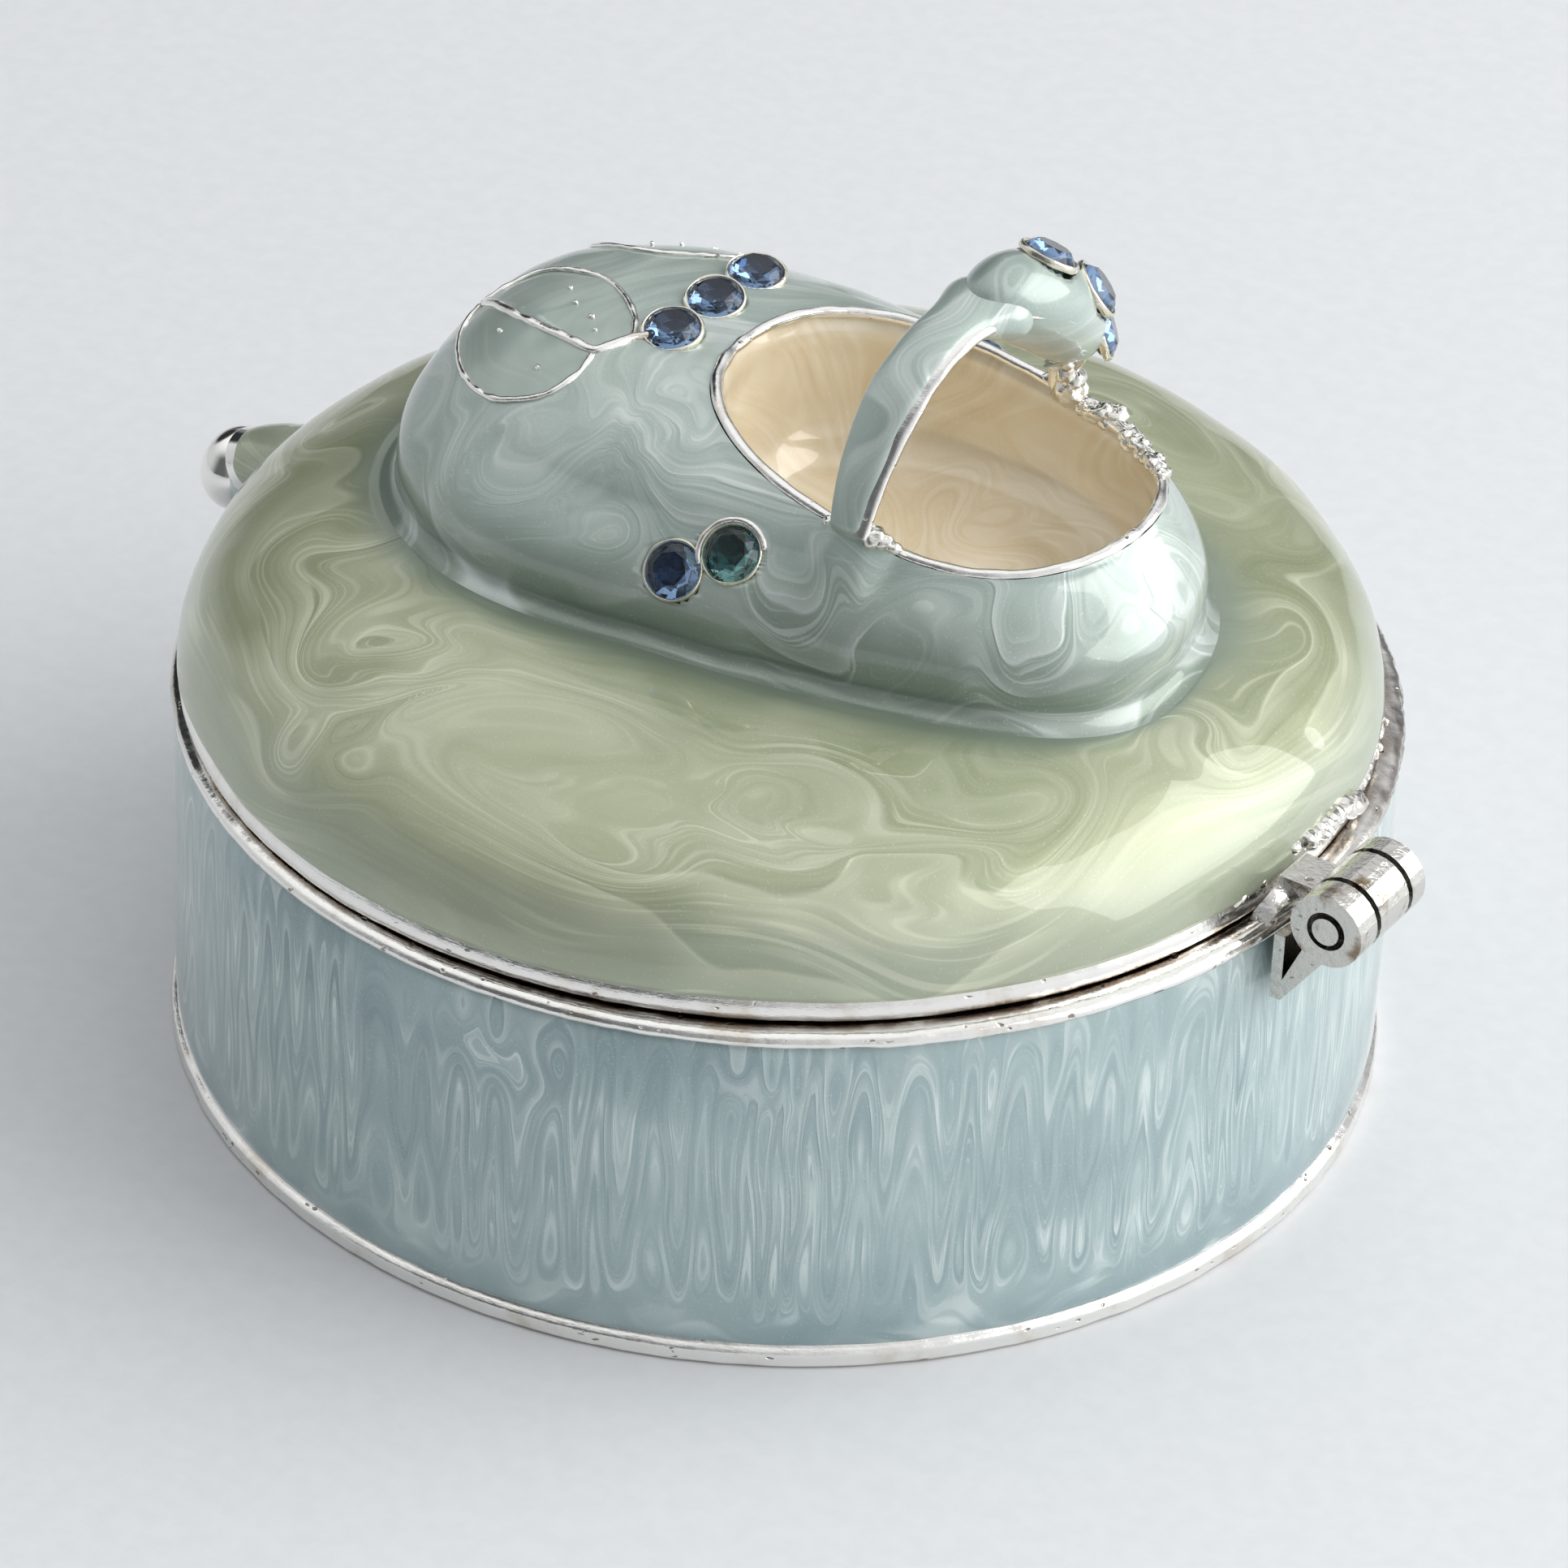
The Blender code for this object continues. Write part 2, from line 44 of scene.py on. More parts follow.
# A socket that can be used in sums.
class Wire:
    def __init__(self, tree, socket=None):
        self.tree, self.socket = tree, socket

    # Any node: its type, its settings (set first), then the values or links of its sockets.
    def node(self, kind, settings=None, sockets=None, out=0):
        made = self.tree.nodes.new("ShaderNode" + kind)
        for name, value in (settings or {}).items():
            if name == "stops":
                ramp = made.color_ramp
                while len(ramp.elements) < len(value):
                    ramp.elements.new(0.5)
                for element, (place, shade) in zip(ramp.elements, value):
                    element.position = place
                    element.color = (*shade, 1.0) if len(shade) == 3 else shade
            else:
                setattr(made, name, value)
        for name, value in (sockets or {}).items():
            socket = made.inputs[name]
            if isinstance(value, Wire):
                self.tree.links.new(value.socket, socket)
            else:
                socket.default_value = value
        return Wire(self.tree, made.outputs[out])

    def math(self, operation, a, b=0.0):
        return self.node("Math", {"operation": operation}, {0: a, 1: b})

    def vector(self, operation, a, b):
        return self.node("VectorMath", {"operation": operation}, {0: a, 1: b})

    def mixed(self, factor, a, b):
        settings = {"data_type": "RGBA", "clamp_factor": True}
        a, b = [(*c, 1.0) if isinstance(c, tuple) and len(c) == 3 else c for c in (a, b)]
        return self.node("Mix", settings, {0: factor, 6: a, 7: b}, out=2)

    def ranged(self, low, high, start=0.0, end=1.0, kind="SMOOTHSTEP"):
        sockets = {"Value": self, "From Min": low, "From Max": high, "To Min": start, "To Max": end}
        return self.node("MapRange", {"interpolation_type": kind}, sockets)

    def __add__(self, other):
        return self.math("ADD", self, other)

    def __radd__(self, other):
        return self.math("ADD", other, self)

    def __sub__(self, other):
        return self.math("SUBTRACT", self, other)

    def __rsub__(self, other):
        return self.math("SUBTRACT", other, self)

    def __mul__(self, other):
        return self.math("MULTIPLY", self, other)

    def __rmul__(self, other):
        return self.math("MULTIPLY", other, self)


def newMaterial(name, plain):
    material = bpy.data.materials.new(name)
    material.use_nodes = True
    shader = material.node_tree.nodes["Principled BSDF"]
    for socket, value in plain.items():
        shader.inputs[socket].default_value = value
    return material, Wire(material.node_tree), shader


def plug(shader, name, wire):
    wire.tree.links.new(wire.socket, shader.inputs[name])


def plugBump(shader, height, relief, strength=1.0):
    sockets = {"Strength": strength, "Distance": relief * mm, "Height": height}
    plug(shader, "Normal", height.node("Bump", {}, sockets))


# A mark that the mesh carries on its points: out 1 reads a vector, out 2 a number.
def pointMark(wire, name, out=2):
    return wire.node("Attribute", {"attribute_name": name}, {}, out)


# Coordinates of the object in millimetres, so that noise scales read as marks per millimetre.
def millimetres(wire):
    place = wire.node("TexCoord", out=3)
    return wire.vector("MULTIPLY", place, (1000.0, 1000.0, 1000.0))


def noise(wire, place, scale, detail, rough=0.5):
    sockets = {"Vector": place, "Scale": scale, "Detail": detail, "Roughness": rough}
    return wire.node("TexNoise", {}, sockets)


def gridFaces(rows, columns, wrap, start):
    r = np.arange(rows - 1)[:, None]
    c = np.arange(columns if wrap else columns - 1)[None, :]
    n = (c + 1) % columns
    quads = np.stack([r * columns + c, r * columns + n, (r + 1) * columns + n, (r + 1) * columns + c], -1)
    return (quads.reshape(-1, 4) + start).tolist()


def unit(vectors):
    return vectors / np.maximum(np.linalg.norm(vectors, axis=-1, keepdims=True), 1e-9)


def fullTurn(count):
    return np.linspace(0, 2 * pi, count, endpoint=False)


# Normals of a grid of points whose last column meets its first.
def gridNormals(grid):
    down = np.gradient(grid, axis=0)
    return unit(np.cross(np.roll(grid, -1, axis=1) - np.roll(grid, 1, axis=1), down))


def addObject(name, data):
    obj = bpy.data.objects.new(name, data)
    bpy.context.scene.collection.objects.link(obj)
    return obj


# One piece from several grids. Each grid is (points, wrap, marks) with marks as named numbers on its points.
def newPiece(name, grids, body, material, replaced=()):
    points, faces, marks = [], [], {}
    count = 0
    for grid, wrap, given in grids:
        rows, columns = grid.shape[:2]
        faces += gridFaces(rows, columns, wrap, count)
        points.append(grid.reshape(-1, 3))
        for key, values in given.items():
            marks.setdefault(key, []).append((count, np.asarray(values)))
        count += rows * columns
    points = np.concatenate(points) * mm
    mesh = bpy.data.meshes.new(name)
    mesh.from_pydata(points.tolist(), [], faces)
    for key, parts in marks.items():
        vector = parts[0][1].shape[-1] == 3
        filled = np.zeros((count, 3) if vector else count, np.float32)
        for start, values in parts:
            values = values.reshape(-1, 3) if vector else values.reshape(-1)
            filled[start : start + len(values)] = values
        made = mesh.attributes.new(key, "FLOAT_VECTOR" if vector else "FLOAT", "POINT")
        made.data.foreach_set("vector" if vector else "value", filled.ravel())
    mesh.materials.append(material)
    mesh.shade_smooth()
    obj = addObject(name, mesh)
    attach(obj, body)
    if replaced:
        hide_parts(*replaced)
    return obj


# Smooth bumps over space: sines in seeded directions. size is the length of a bump.
def waves(points, size, seed):
    numbers = np.random.default_rng(seed)
    count = 18
    total = np.zeros(points.shape[:-1])
    for _ in range(count):
        direction = numbers.normal(size=3)
        direction *= 2 * pi / size * numbers.uniform(0.6, 1.5) / np.linalg.norm(direction)
        total += np.sin(points @ direction + numbers.uniform(0, 2 * pi))
    return total / np.sqrt(count / 2) / 2


# A grid whose surface is gently uneven.
def uneven(grid, size, seed, amount):
    return grid + gridNormals(grid) * (waves(grid, size, seed) * amount)[..., None]


# Where the threads of the enamel run: two coordinates of the points, and the depth that the threads follow.
def flowOf(points, depth):
    return np.concatenate([points[..., :2], depth[..., None]], -1)


def smoothstep(values, low, high):
    t = np.clip((values - low) / (high - low), 0, 1)
    return t * t * (3 - 2 * t)


def signedPower(values, exponent):
    return np.sign(values) * np.abs(values) ** exponent


# How far along a path each of its points is.
def distance(path):
    return np.concatenate([[0], np.cumsum(np.linalg.norm(np.diff(path, axis=0), axis=1))])


# Spaces the points of each column evenly, over this many rows.
def evenRows(grid, rows):
    out = np.empty((rows, grid.shape[1], 3))
    goal = np.linspace(0, 1, rows)
    for c in range(grid.shape[1]):
        run = distance(grid[:, c])
        run /= run[-1]
        for k in range(3):
            out[:, c, k] = np.interp(goal, run, grid[:, c, k])
    return out


def softenRows(grid, times):
    for _ in range(times):
        grid[1:-1] = (grid[:-2] + 2 * grid[1:-1] + grid[2:]) / 4
    return grid


upward = np.array([0.0, 0.0, 1.0])


# A bar of oval section along a path. up gives the direction of the second half width at each point.
def sweep(path, wide, high, up, sides, closed=False, taper=True, square=1.0, shift=(0.0, 0.0)):
    path = np.asarray(path, float)
    up = np.broadcast_to(up, path.shape)
    count = len(path)
    if closed:
        tangent = unit(np.roll(path, -1, axis=0) - np.roll(path, 1, axis=0))
    else:
        tangent = unit(np.gradient(path, axis=0))
    across = unit(np.cross(tangent, up))
    out = unit(np.cross(across, tangent))
    wide, high = np.broadcast_to(wide, count).copy(), np.broadcast_to(high, count).copy()
    if taper and not closed:
        run = distance(path)
        reach = np.minimum(run, run[-1] - run) / np.maximum(np.minimum(wide, high), 1e-6)
        cut = np.sqrt(np.clip(1 - (1 - np.clip(reach, 0.001, 1)) ** 2, 0, 1))
        wide, high = wide * cut, high * cut
    turn = fullTurn(sides)
    aside = wide[:, None] * signedPower(np.cos(turn), square) + shift[0]
    above = high[:, None] * signedPower(np.sin(turn), square) + shift[1]
    grid = path[:, None] + across[:, None] * aside[..., None] + out[:, None] * above[..., None]
    if closed:
        grid = np.concatenate([grid, grid[:1]])
    return grid


# A lathe of (radius, height) points round an upright axis.
def lathe(profile, columns, center=(0.0, 0.0)):
    profile = np.asarray(profile, float)
    turn = fullTurn(columns)
    x = center[0] + profile[:, 0:1] * np.cos(turn)
    y = center[1] + profile[:, 0:1] * np.sin(turn)
    return np.stack([x, y, np.broadcast_to(profile[:, 1:2], x.shape)], -1)


# Points along a polyline of (radius, height), with its corners rounded off. They crowd where it bends.
def roundedProfile(corners, step, soften):
    corners = np.asarray(corners, float)
    legs = np.diff(corners, axis=0)
    run = distance(corners)
    goal = np.linspace(0, run[-1], int(run[-1] / step) + 1)
    line = np.stack([np.interp(goal, run, corners[:, k]) for k in range(2)], -1)
    line = softenRows(line[:, None, :], soften)[:, 0]
    bend = np.abs((np.diff(np.arctan2(legs[:, 1], legs[:, 0])) + pi) % (2 * pi) - pi)
    sharp = run[1:-1][bend > 0.2]
    room = np.clip(step + 0.4 * np.abs(goal[:, None] - sharp).min(axis=1), step, 1.2)
    count = np.cumsum(step / room)
    kept = np.searchsorted(count, np.arange(0, count[-1]))
    return line[np.unique([0, *kept, len(line) - 1])]


# An eddy is what a stylus turned in wet enamel leaves: (centre, half length, half width, strength, axis,
# heading). This gives the points' places in it, and its two directions.
def eddyFrame(points, center, long, wide, axis, heading):
    axis = unit(np.asarray(axis, float))
    along = np.asarray(heading, float)
    along = unit(along - axis * (along @ axis))
    side = np.cross(axis, along)
    away = points - np.asarray(center, float)
    return away @ along / long, away @ side / wide, away @ axis / wide, along, side


# Turns points about each eddy's centre, most at its middle.
def stir(points, eddies, turns):
    moved = points.astype(float).copy()
    for center, long, wide, strength, axis, heading in eddies:
        a, b, h, along, side = eddyFrame(moved, center, long, wide, axis, heading)
        angle = strength * turns * 2 * pi * np.exp(-(a * a + b * b + h * h))
        ca, sa = np.cos(angle), np.sin(angle)
        moved = moved + ((a * ca - b * sa - a) * long)[..., None] * along
        moved = moved + ((a * sa + b * ca - b) * wide)[..., None] * side
    return moved


# Adds a round hill or hollow at each eddy, so that threads along the level lines close round it.
def hills(points, eddies):
    total = np.zeros(points.shape[:-1])
    for center, long, wide, strength, axis, heading in eddies:
        a, b, h, _, _ = eddyFrame(points, center, long, wide, axis, heading)
        total += strength * np.exp(-((a * a + b * b + h * h) ** 2))
    return total


# Shapes that several pieces share, by the same formulas as the solids.
lidShape = {
    "center": (-0.4, 0.0),
    "radius": 24.75,
    "bottom": 16.4,
    "rise": 6.5,
    "flatness": 6.0,
    "roundness": 2.2,
    "wall": 1.5,
    "band": 0.7,
}
shoeShape = {
    "center": (-0.5, 1.5),
    "toe": 17.0,
    "heel": 17.0,
    "halfWidth": 10.8,
    "taper": 0.09,
    "corner": 2.5,
    "height": 7.5,
    "vault": 3.5,
    "toeUpright": 4.4,
    "heelUpright": 5.3,
    "belly": 0.3,
    "pushes": [(-120, 25, 0.075), (-20, 24, 0.090), (-70, 40, 0.040)],  # heading, spread, share of the reach
    "base": 22.7,
    "fillet": 0.8,
    "insole": 0.8,
    "mouthCenter": (6.1, -0.1),
    "mouthLength": 9.6,
    "mouthWidth": 7.4,
    "mouthCorner": 2.2,
    "mouthRim": 0.6,
}


def domeHeight(x, y, inset=0.0):
    s = lidShape
    share = np.hypot(x - s["center"][0], y - s["center"][1]) / (s["radius"] - inset)
    rise = np.maximum(0.0, 1 - share ** s["flatness"]) ** (1 / s["roundness"])
    return s["bottom"] + (s["rise"] - inset) * rise


def domeRadius(level, inset=0.0):
    s = lidShape
    return (s["radius"] - inset) * (1 - level ** s["roundness"]) ** (1 / s["flatness"])


def soleSizes(u):
    s = shoeShape
    return np.where(u < 0, s["toe"], s["heel"]), s["halfWidth"] - s["taper"] * u


def solePoint(angle, offset=0.0):
    c = signedPower(np.cos(angle), 2 / shoeShape["corner"])
    s = signedPower(np.sin(angle), 2 / shoeShape["corner"])
    u = soleSizes(c)[0] * c
    v = soleSizes(u)[1] * s
    reach = 1 + offset / np.hypot(u, v)
    return u * reach, v * reach


def upperExponent(u, v):
    long, wide = soleSizes(u)
    facing = (u / long) / np.maximum(np.hypot(u / long, v / wide), 1e-9)
    upright = np.where(facing < 0, shoeShape["toeUpright"], shoeShape["heelUpright"])
    return shoeShape["vault"] + upright * facing**4


def upperHeight(u, v):
    long, wide = soleSizes(u)
    corner = shoeShape["corner"]
    share = np.minimum(1.0, (np.abs(u / long) ** corner + np.abs(v / wide) ** corner) ** (1 / corner))
    rise = np.sqrt(np.maximum(0.0, 1 - share ** upperExponent(u, v)))
    return shoeShape["base"] + shoeShape["height"] * rise


def upperRing(angle, level):
    u, v = solePoint(angle)
    share = (1 - level**2) ** (1 / upperExponent(u, v))
    return u * share, v * share


def mouthPoint(angle, inward=0.0):
    s = shoeShape
    c = signedPower(np.cos(angle), 2 / s["mouthCorner"])
    w = signedPower(np.sin(angle), 2 / s["mouthCorner"])
    cu, cv = s["mouthCenter"]
    return cu + (s["mouthLength"] - inward) * c, cv + (s["mouthWidth"] - inward) * w


def onLid(u, v, z):
    u, v, z = np.broadcast_arrays(u, v, z)
    return np.stack([u + shoeShape["center"][0], v + shoeShape["center"][1], z], -1)


# The shoe's outside: its walls swell out above the sole and stand fuller on the near side; its top stays.
def outside(u, v, z):
    points = onLid(u, v, z)
    away = points[..., :2] - np.array(shoeShape["center"])
    reach = np.linalg.norm(away, axis=-1)
    turn = np.degrees(np.arctan2(away[..., 1], away[..., 0]))
    level = (points[..., 2] - shoeShape["base"]) / shoeShape["height"]
    out = shoeShape["belly"] * np.sin(pi * np.clip(level / 0.65, 0, 1))
    for heading, spread, amount in shoeShape["pushes"]:
        near = np.exp(-((((turn - heading + 180) % 360) - 180) / spread) ** 2)
        out = out + amount * reach * near * (1 - smoothstep(level, 0.3, 0.65))
    points[..., :2] += away / reach[..., None] * out[..., None]
    return points


# Point of the upper and its normal at (u, v).
def upperSpot(u, v, lift=0.0):
    u, v = np.asarray(u, float), np.asarray(v, float)
    step = 0.05
    point = outside(u, v, upperHeight(u, v))
    along = outside(u + step, v, upperHeight(u + step, v)) - outside(u - step, v, upperHeight(u - step, v))
    across = outside(u, v + step, upperHeight(u, v + step)) - outside(u, v - step, upperHeight(u, v - step))
    normal = unit(np.cross(along, across))
    return point + normal * lift, normal


def sideSpot(u, level, side):
    s = shoeShape
    share = (1 - level**2) ** (1 / s["vault"])
    across = (share ** s["corner"] - abs(u / soleSizes(np.float64(u))[0]) ** s["corner"]) ** (1 / s["corner"])
    return upperSpot(u, side * soleSizes(u)[1] * across)


camera = {
    "azimuth": 31.84,
    "elevation": 33.889,
    "roll": 2.666,
    "distance": 341.28,
    "lens": 186.335,
    "target": (-2.247, 3.562, 8.0),
}


def makeCamera(s):
    a, e, r = radians(s["azimuth"]), radians(s["elevation"]), radians(s["roll"])
    back = Vector((sin(a) * cos(e), -cos(a) * cos(e), sin(e)))
    right = (-back).cross(Vector((0, 0, 1))).normalized()
    up = right.cross(-back)
    sideways = right * cos(r) + up * sin(r)
    upright = up * cos(r) - right * sin(r)
    spot = (Vector(s["target"]) + back * s["distance"]) * mm
    data = bpy.data.cameras.new("camera")
    data.lens = s["lens"]
    data.sensor_width = 36
    data.clip_start, data.clip_end = 0.01, 20
    obj = addObject("camera", data)
    obj.matrix_world = Matrix((sideways, upright, back)).transposed().to_4x4()
    obj.location = spot
    bpy.context.scene.camera = obj


makeCamera(camera)

# The key is (place, aimed at, width, height, glow, colour). The room glows by direction: each share of it is
# (direction, where it starts, where it is full, colour).
studio = {
    "key": ((330, 190, 240), (0, 0, 10), 480, 400, 2.8, (1.0, 0.99, 0.97)),
    "low": (0.12, 0.126, 0.13),
    "glows": [
        ((0.80, 0.15, 0.25), -0.1, 0.85, (0.86, 0.87, 0.89)),
        ((-0.93, -0.10, 0.15), 0.50, 0.95, (0.60, 0.62, 0.63)),
        ((-0.30, 0.22, 0.93), 0.50, 0.97, (1.0, 1.01, 1.02)),
        ((-0.80, 0.45, 0.40), 0.92, 0.98, (0.03, 0.032, 0.035)),
    ],
}


def makeStudio(s):
    place, aim, width, height, glow, color = s["key"]
    data = bpy.data.lights.new("key", "AREA")
    data.shape = "RECTANGLE"
    data.size, data.size_y = width * mm, height * mm
    data.energy = glow * pi * data.size * data.size_y
    data.color = color
    obj = addObject("key", data)
    obj.location = Vector(place) * mm
    obj.rotation_euler = (Vector(aim) - Vector(place)).to_track_quat("-Z", "Y").to_euler()
    world = bpy.data.worlds.new("studio")
    world.use_nodes = True
    bpy.context.scene.world = world
    wire = Wire(world.node_tree)
    way = wire.node("TexCoord", out=0)
    shade = s["low"]
    for direction, start, full, color in s["glows"]:
        toward = wire.node("VectorMath", {"operation": "DOT_PRODUCT"}, {0: way, 1: direction}, out=1)
        shade = wire.mixed(toward.ranged(start, full), shade, color)
    world.node_tree.links.new(shade.socket, world.node_tree.nodes["Background"].inputs["Color"])


floor = {
    "half": 1500,
    "below": 0.02,  # a hair under the box, so that the two don't share a plane
    "shades": [(0.735, 0.752, 0.768), (0.765, 0.780, 0.795)],
    "roughness": 0.62,
    "grain": 0.9,
    "relief": 0.04,
    "strength": 0.15,
}


def makeFloor(s):
    material, wire, shader = newMaterial("paleBoard", {"Roughness": s["roughness"]})
    grain = noise(wire, millimetres(wire), s["grain"], 4.0, 0.6)
    plug(shader, "Base Color", wire.mixed(grain.ranged(0.3, 0.7), *s["shades"]))
    plugBump(shader, grain, s["relief"], s["strength"])
    mesh = bpy.data.meshes.new("floor")
    half = s["half"] * mm
    corners = [(-half, -half, 0), (half, -half, 0), (half, half, 0), (-half, half, 0)]
    mesh.from_pydata(corners, [], [(0, 1, 2, 3)])
    mesh.materials.append(material)
    obj = addObject("floor", mesh)
    obj.location.z = -s["below"] * mm


makeStudio(studio)
makeFloor(floor)
bpy.context.scene.view_settings.view_transform = "Standard"
print("camera, light and floor made")


# Pearl enamel: silky folds of mica under a clear glossy coat. They follow the depth that each mesh carries.
# The mesh's edge mark mixes painted light and shade into the colour.
def pearlEnamel(name, s):
    plain = {
        "Metallic": s["metallic"],
        "Roughness": s["roughness"],
        "Coat Weight": 1.0,
        "Coat Roughness": s["gloss"],
        "Coat IOR": 1.5,
        "IOR": 1.5,
    }
    material, wire, shader = newMaterial(name, plain)
    flow = pointMark(wire, "flow", 1)
    edge, cell = pointMark(wire, "edge"), pointMark(wire, "cell")
    place = millimetres(wire)
    depth = wire.node("SeparateXYZ", {}, {"Vector": flow}, out=2)
    stretches = [wire.vector("MULTIPLY", flow, s[key]) for key in ("cloud", "silk", "thread", "hair")]
    cloud, silk, thread, hair = [noise(wire, stretched, 1.0, 1.0) for stretched in stretches]
    drift = noise(wire, place, s["drift"], 2.0)
    patch = noise(wire, place, s["patch"], 1.0)
    mica = noise(wire, place, 9.0, 1.0, 0.6)
    tone = cloud * 0.38 + silk * 0.22 + thread * 0.26 + hair * 0.14 + (mica - 0.5) * 0.06
    color = wire.node("ValToRGB", {"stops": s["stops"]}, {"Fac": tone})
    saw = wire.math("FRACT", depth * s["turns"] + drift * 3.0)
    fold = saw.ranged(0.0, 0.12) * saw.ranged(0.10, 0.85, 1.0, 0.0, "LINEAR")
    fold = fold * fold * patch.ranged(0.42, 0.58, 0.12, 1.0)
    color = wire.mixed(drift.ranged(0.40, 0.66) * s["driftShare"], color, s["driftColor"])
    # Painted light: the edge mark mixes in painted shade above the shoe's foot and the wall's foot, and a
    # painted pale reflection near the dome's rim.
    color = wire.mixed(edge * s["paintedLightShare"], color, s["paintedLightColor"])
    # This mark is the petals' own greyer tone on the shoe, and painted shade in the crease round the shoe's
    # foot on the dome; no pearl threads there.
    color = wire.mixed(cell * s["petalAndCreaseShadeShare"], color, s["petalAndCreaseShadeColor"])
    bundle = silk.ranged(0.42, 0.56) * patch.ranged(0.36, 0.54, 0.2, 1.0)
    lines = thread.ranged(0.55, 0.68) * 0.6 + hair.ranged(0.54, 0.66)
    shine = fold * s["folds"] + mica.ranged(0.64, 0.76) * 0.25 + lines * bundle * s["lines"]
    color = wire.mixed(shine * (1 - cell), color, s["pearl"])
    plug(shader, "Base Color", color)
    height = fold * 0.40 + silk * 0.25 + thread * 0.20 + hair * 0.15
    plugBump(shader, height, s["relief"])
    return material


sageLook = {
    "metallic": 0.30,
    "roughness": 0.40,
    "gloss": 0.02,
    "cloud": (0.06, 0.06, 0.20),
    "silk": (0.07, 0.07, 0.9),
    "thread": (0.10, 0.10, 2.6),
    "hair": (0.12, 0.12, 6.0),
    "drift": 0.08,
    "driftShare": 0.35,
    "driftColor": (0.52, 0.54, 0.35),
    # On the dome: a painted pale bluish reflection near the rim, and painted dark shade in the crease round
    # the shoe's foot.
    "paintedLightShare": 0.5,
    "paintedLightColor": (0.43, 0.49, 0.44),
    "petalAndCreaseShadeColor": (0.22, 0.275, 0.215),
    "petalAndCreaseShadeShare": 0.8,
    "patch": 0.11,
    "turns": 0.42,
    "folds": 0.50,
    "lines": 0.36,
    "pearl": (0.70, 0.73, 0.55),
    "relief": 0.075,
    "stops": [
        (0.36, (0.270, 0.306, 0.170)),
        (0.46, (0.335, 0.374, 0.228)),
        (0.54, (0.380, 0.420, 0.272)),
        (0.64, (0.490, 0.527, 0.370)),
    ],
}
aquaLook = dict(
    sageLook,
    cloud=(0.10, 0.10, 0.34),
    silk=(0.09, 0.09, 0.9),
    thread=(0.14, 0.14, 2.6),
    driftColor=(0.50, 0.60, 0.57),
    # On the shoe: painted dark shade above its foot; the petals keep their own greyer tone.
    paintedLightColor=(0.215, 0.275, 0.22),
    paintedLightShare=0.85,
    petalAndCreaseShadeColor=(0.40, 0.475, 0.43),
    petalAndCreaseShadeShare=0.6,
    pearl=(0.72, 0.78, 0.76),
    patch=0.16,
    turns=0.45,
    stops=[
        (0.34, (0.300, 0.375, 0.340)),
        (0.46, (0.370, 0.450, 0.410)),
        (0.54, (0.445, 0.525, 0.480)),
        (0.64, (0.580, 0.650, 0.605)),
    ],
)
iceLook = dict(
    sageLook,
    cloud=(0.10, 0.10, 0.10),
    silk=(0.22, 0.16, 0.22),
    thread=(0.40, 0.30, 0.62),
    hair=(0.6, 0.3, 1.3),
    driftColor=(0.45, 0.58, 0.59),
    # On the wall: painted shade towards its foot.
    paintedLightColor=(0.25, 0.36, 0.385),
    paintedLightShare=0.6,
    pearl=(0.70, 0.79, 0.78),
    patch=0.2,
    turns=0.22,
    lines=0.50,
    relief=0.06,
    stops=[
        (0.36, (0.220, 0.312, 0.330)),
        (0.46, (0.305, 0.412, 0.424)),
        (0.54, (0.375, 0.485, 0.490)),
        (0.64, (0.520, 0.635, 0.630)),
    ],
)
creamLook = dict(
    sageLook,
    metallic=0.1,
    roughness=0.32,
    cloud=(0.10, 0.10, 0.20),
    silk=(0.15, 0.15, 0.5),
    thread=(0.3, 0.3, 1.6),
    hair=(0.3, 0.3, 3.0),
    driftColor=(0.90, 0.80, 0.62),
    paintedLightColor=(0.90, 0.82, 0.66),
    pearl=(0.96, 0.90, 0.76),
    folds=0.35,
    turns=0.3,
    relief=0.03,
    stops=[
        (0.34, (0.72, 0.58, 0.38)),
        (0.46, (0.82, 0.70, 0.50)),
        (0.54, (0.88, 0.78, 0.60)),
        (0.64, (0.94, 0.86, 0.70)),
    ],
)
sageEnamel = pearlEnamel("sageEnamel", sageLook)
aquaEnamel = pearlEnamel("aquaEnamel", aquaLook)
iceEnamel = pearlEnamel("iceEnamel", iceLook)
creamEnamel = pearlEnamel("creamEnamel", creamLook)


# Silver plate: worn, cast and slightly pitted, with warm tarnish in places.
def silverPlate(name, s):
    material, wire, shader = newMaterial(name, {"Metallic": 1.0})
    place = millimetres(wire)
    stain = noise(wire, place, s["stainScale"], 4.0, 0.6)
    grain = noise(wire, place, s["grainScale"], 3.0, 0.6)
    fine = noise(wire, wire.vector("MULTIPLY", place, (3.0, 3.0, 18.0)), 1.0, 2.0)
    edge = pointMark(wire, "edge")
    pits = noise(wire, wire.vector("MULTIPLY", place, (1.0, 1.0, 2.2)), 1.5, 1.0).ranged(0.70, 0.76)
    color = wire.mixed(stain.ranged(0.54, 0.72) * s["stain"], s["clean"], s["tarnish"])
    color = wire.mixed(edge * stain.ranged(0.30, 0.55, 0.15, 0.75), color, s["dirt"])
    color = wire.mixed(pits * s["pits"], color, s["dirt"])
    plug(shader, "Base Color", color)
    plug(shader, "Roughness", grain.ranged(0.35, 0.7, s["smooth"], s["rough"], "LINEAR"))
    height = grain * 0.7 + fine * 0.3 - pits * s["pits"] * 2.0
    plugBump(shader, height, s["relief"])
    return material


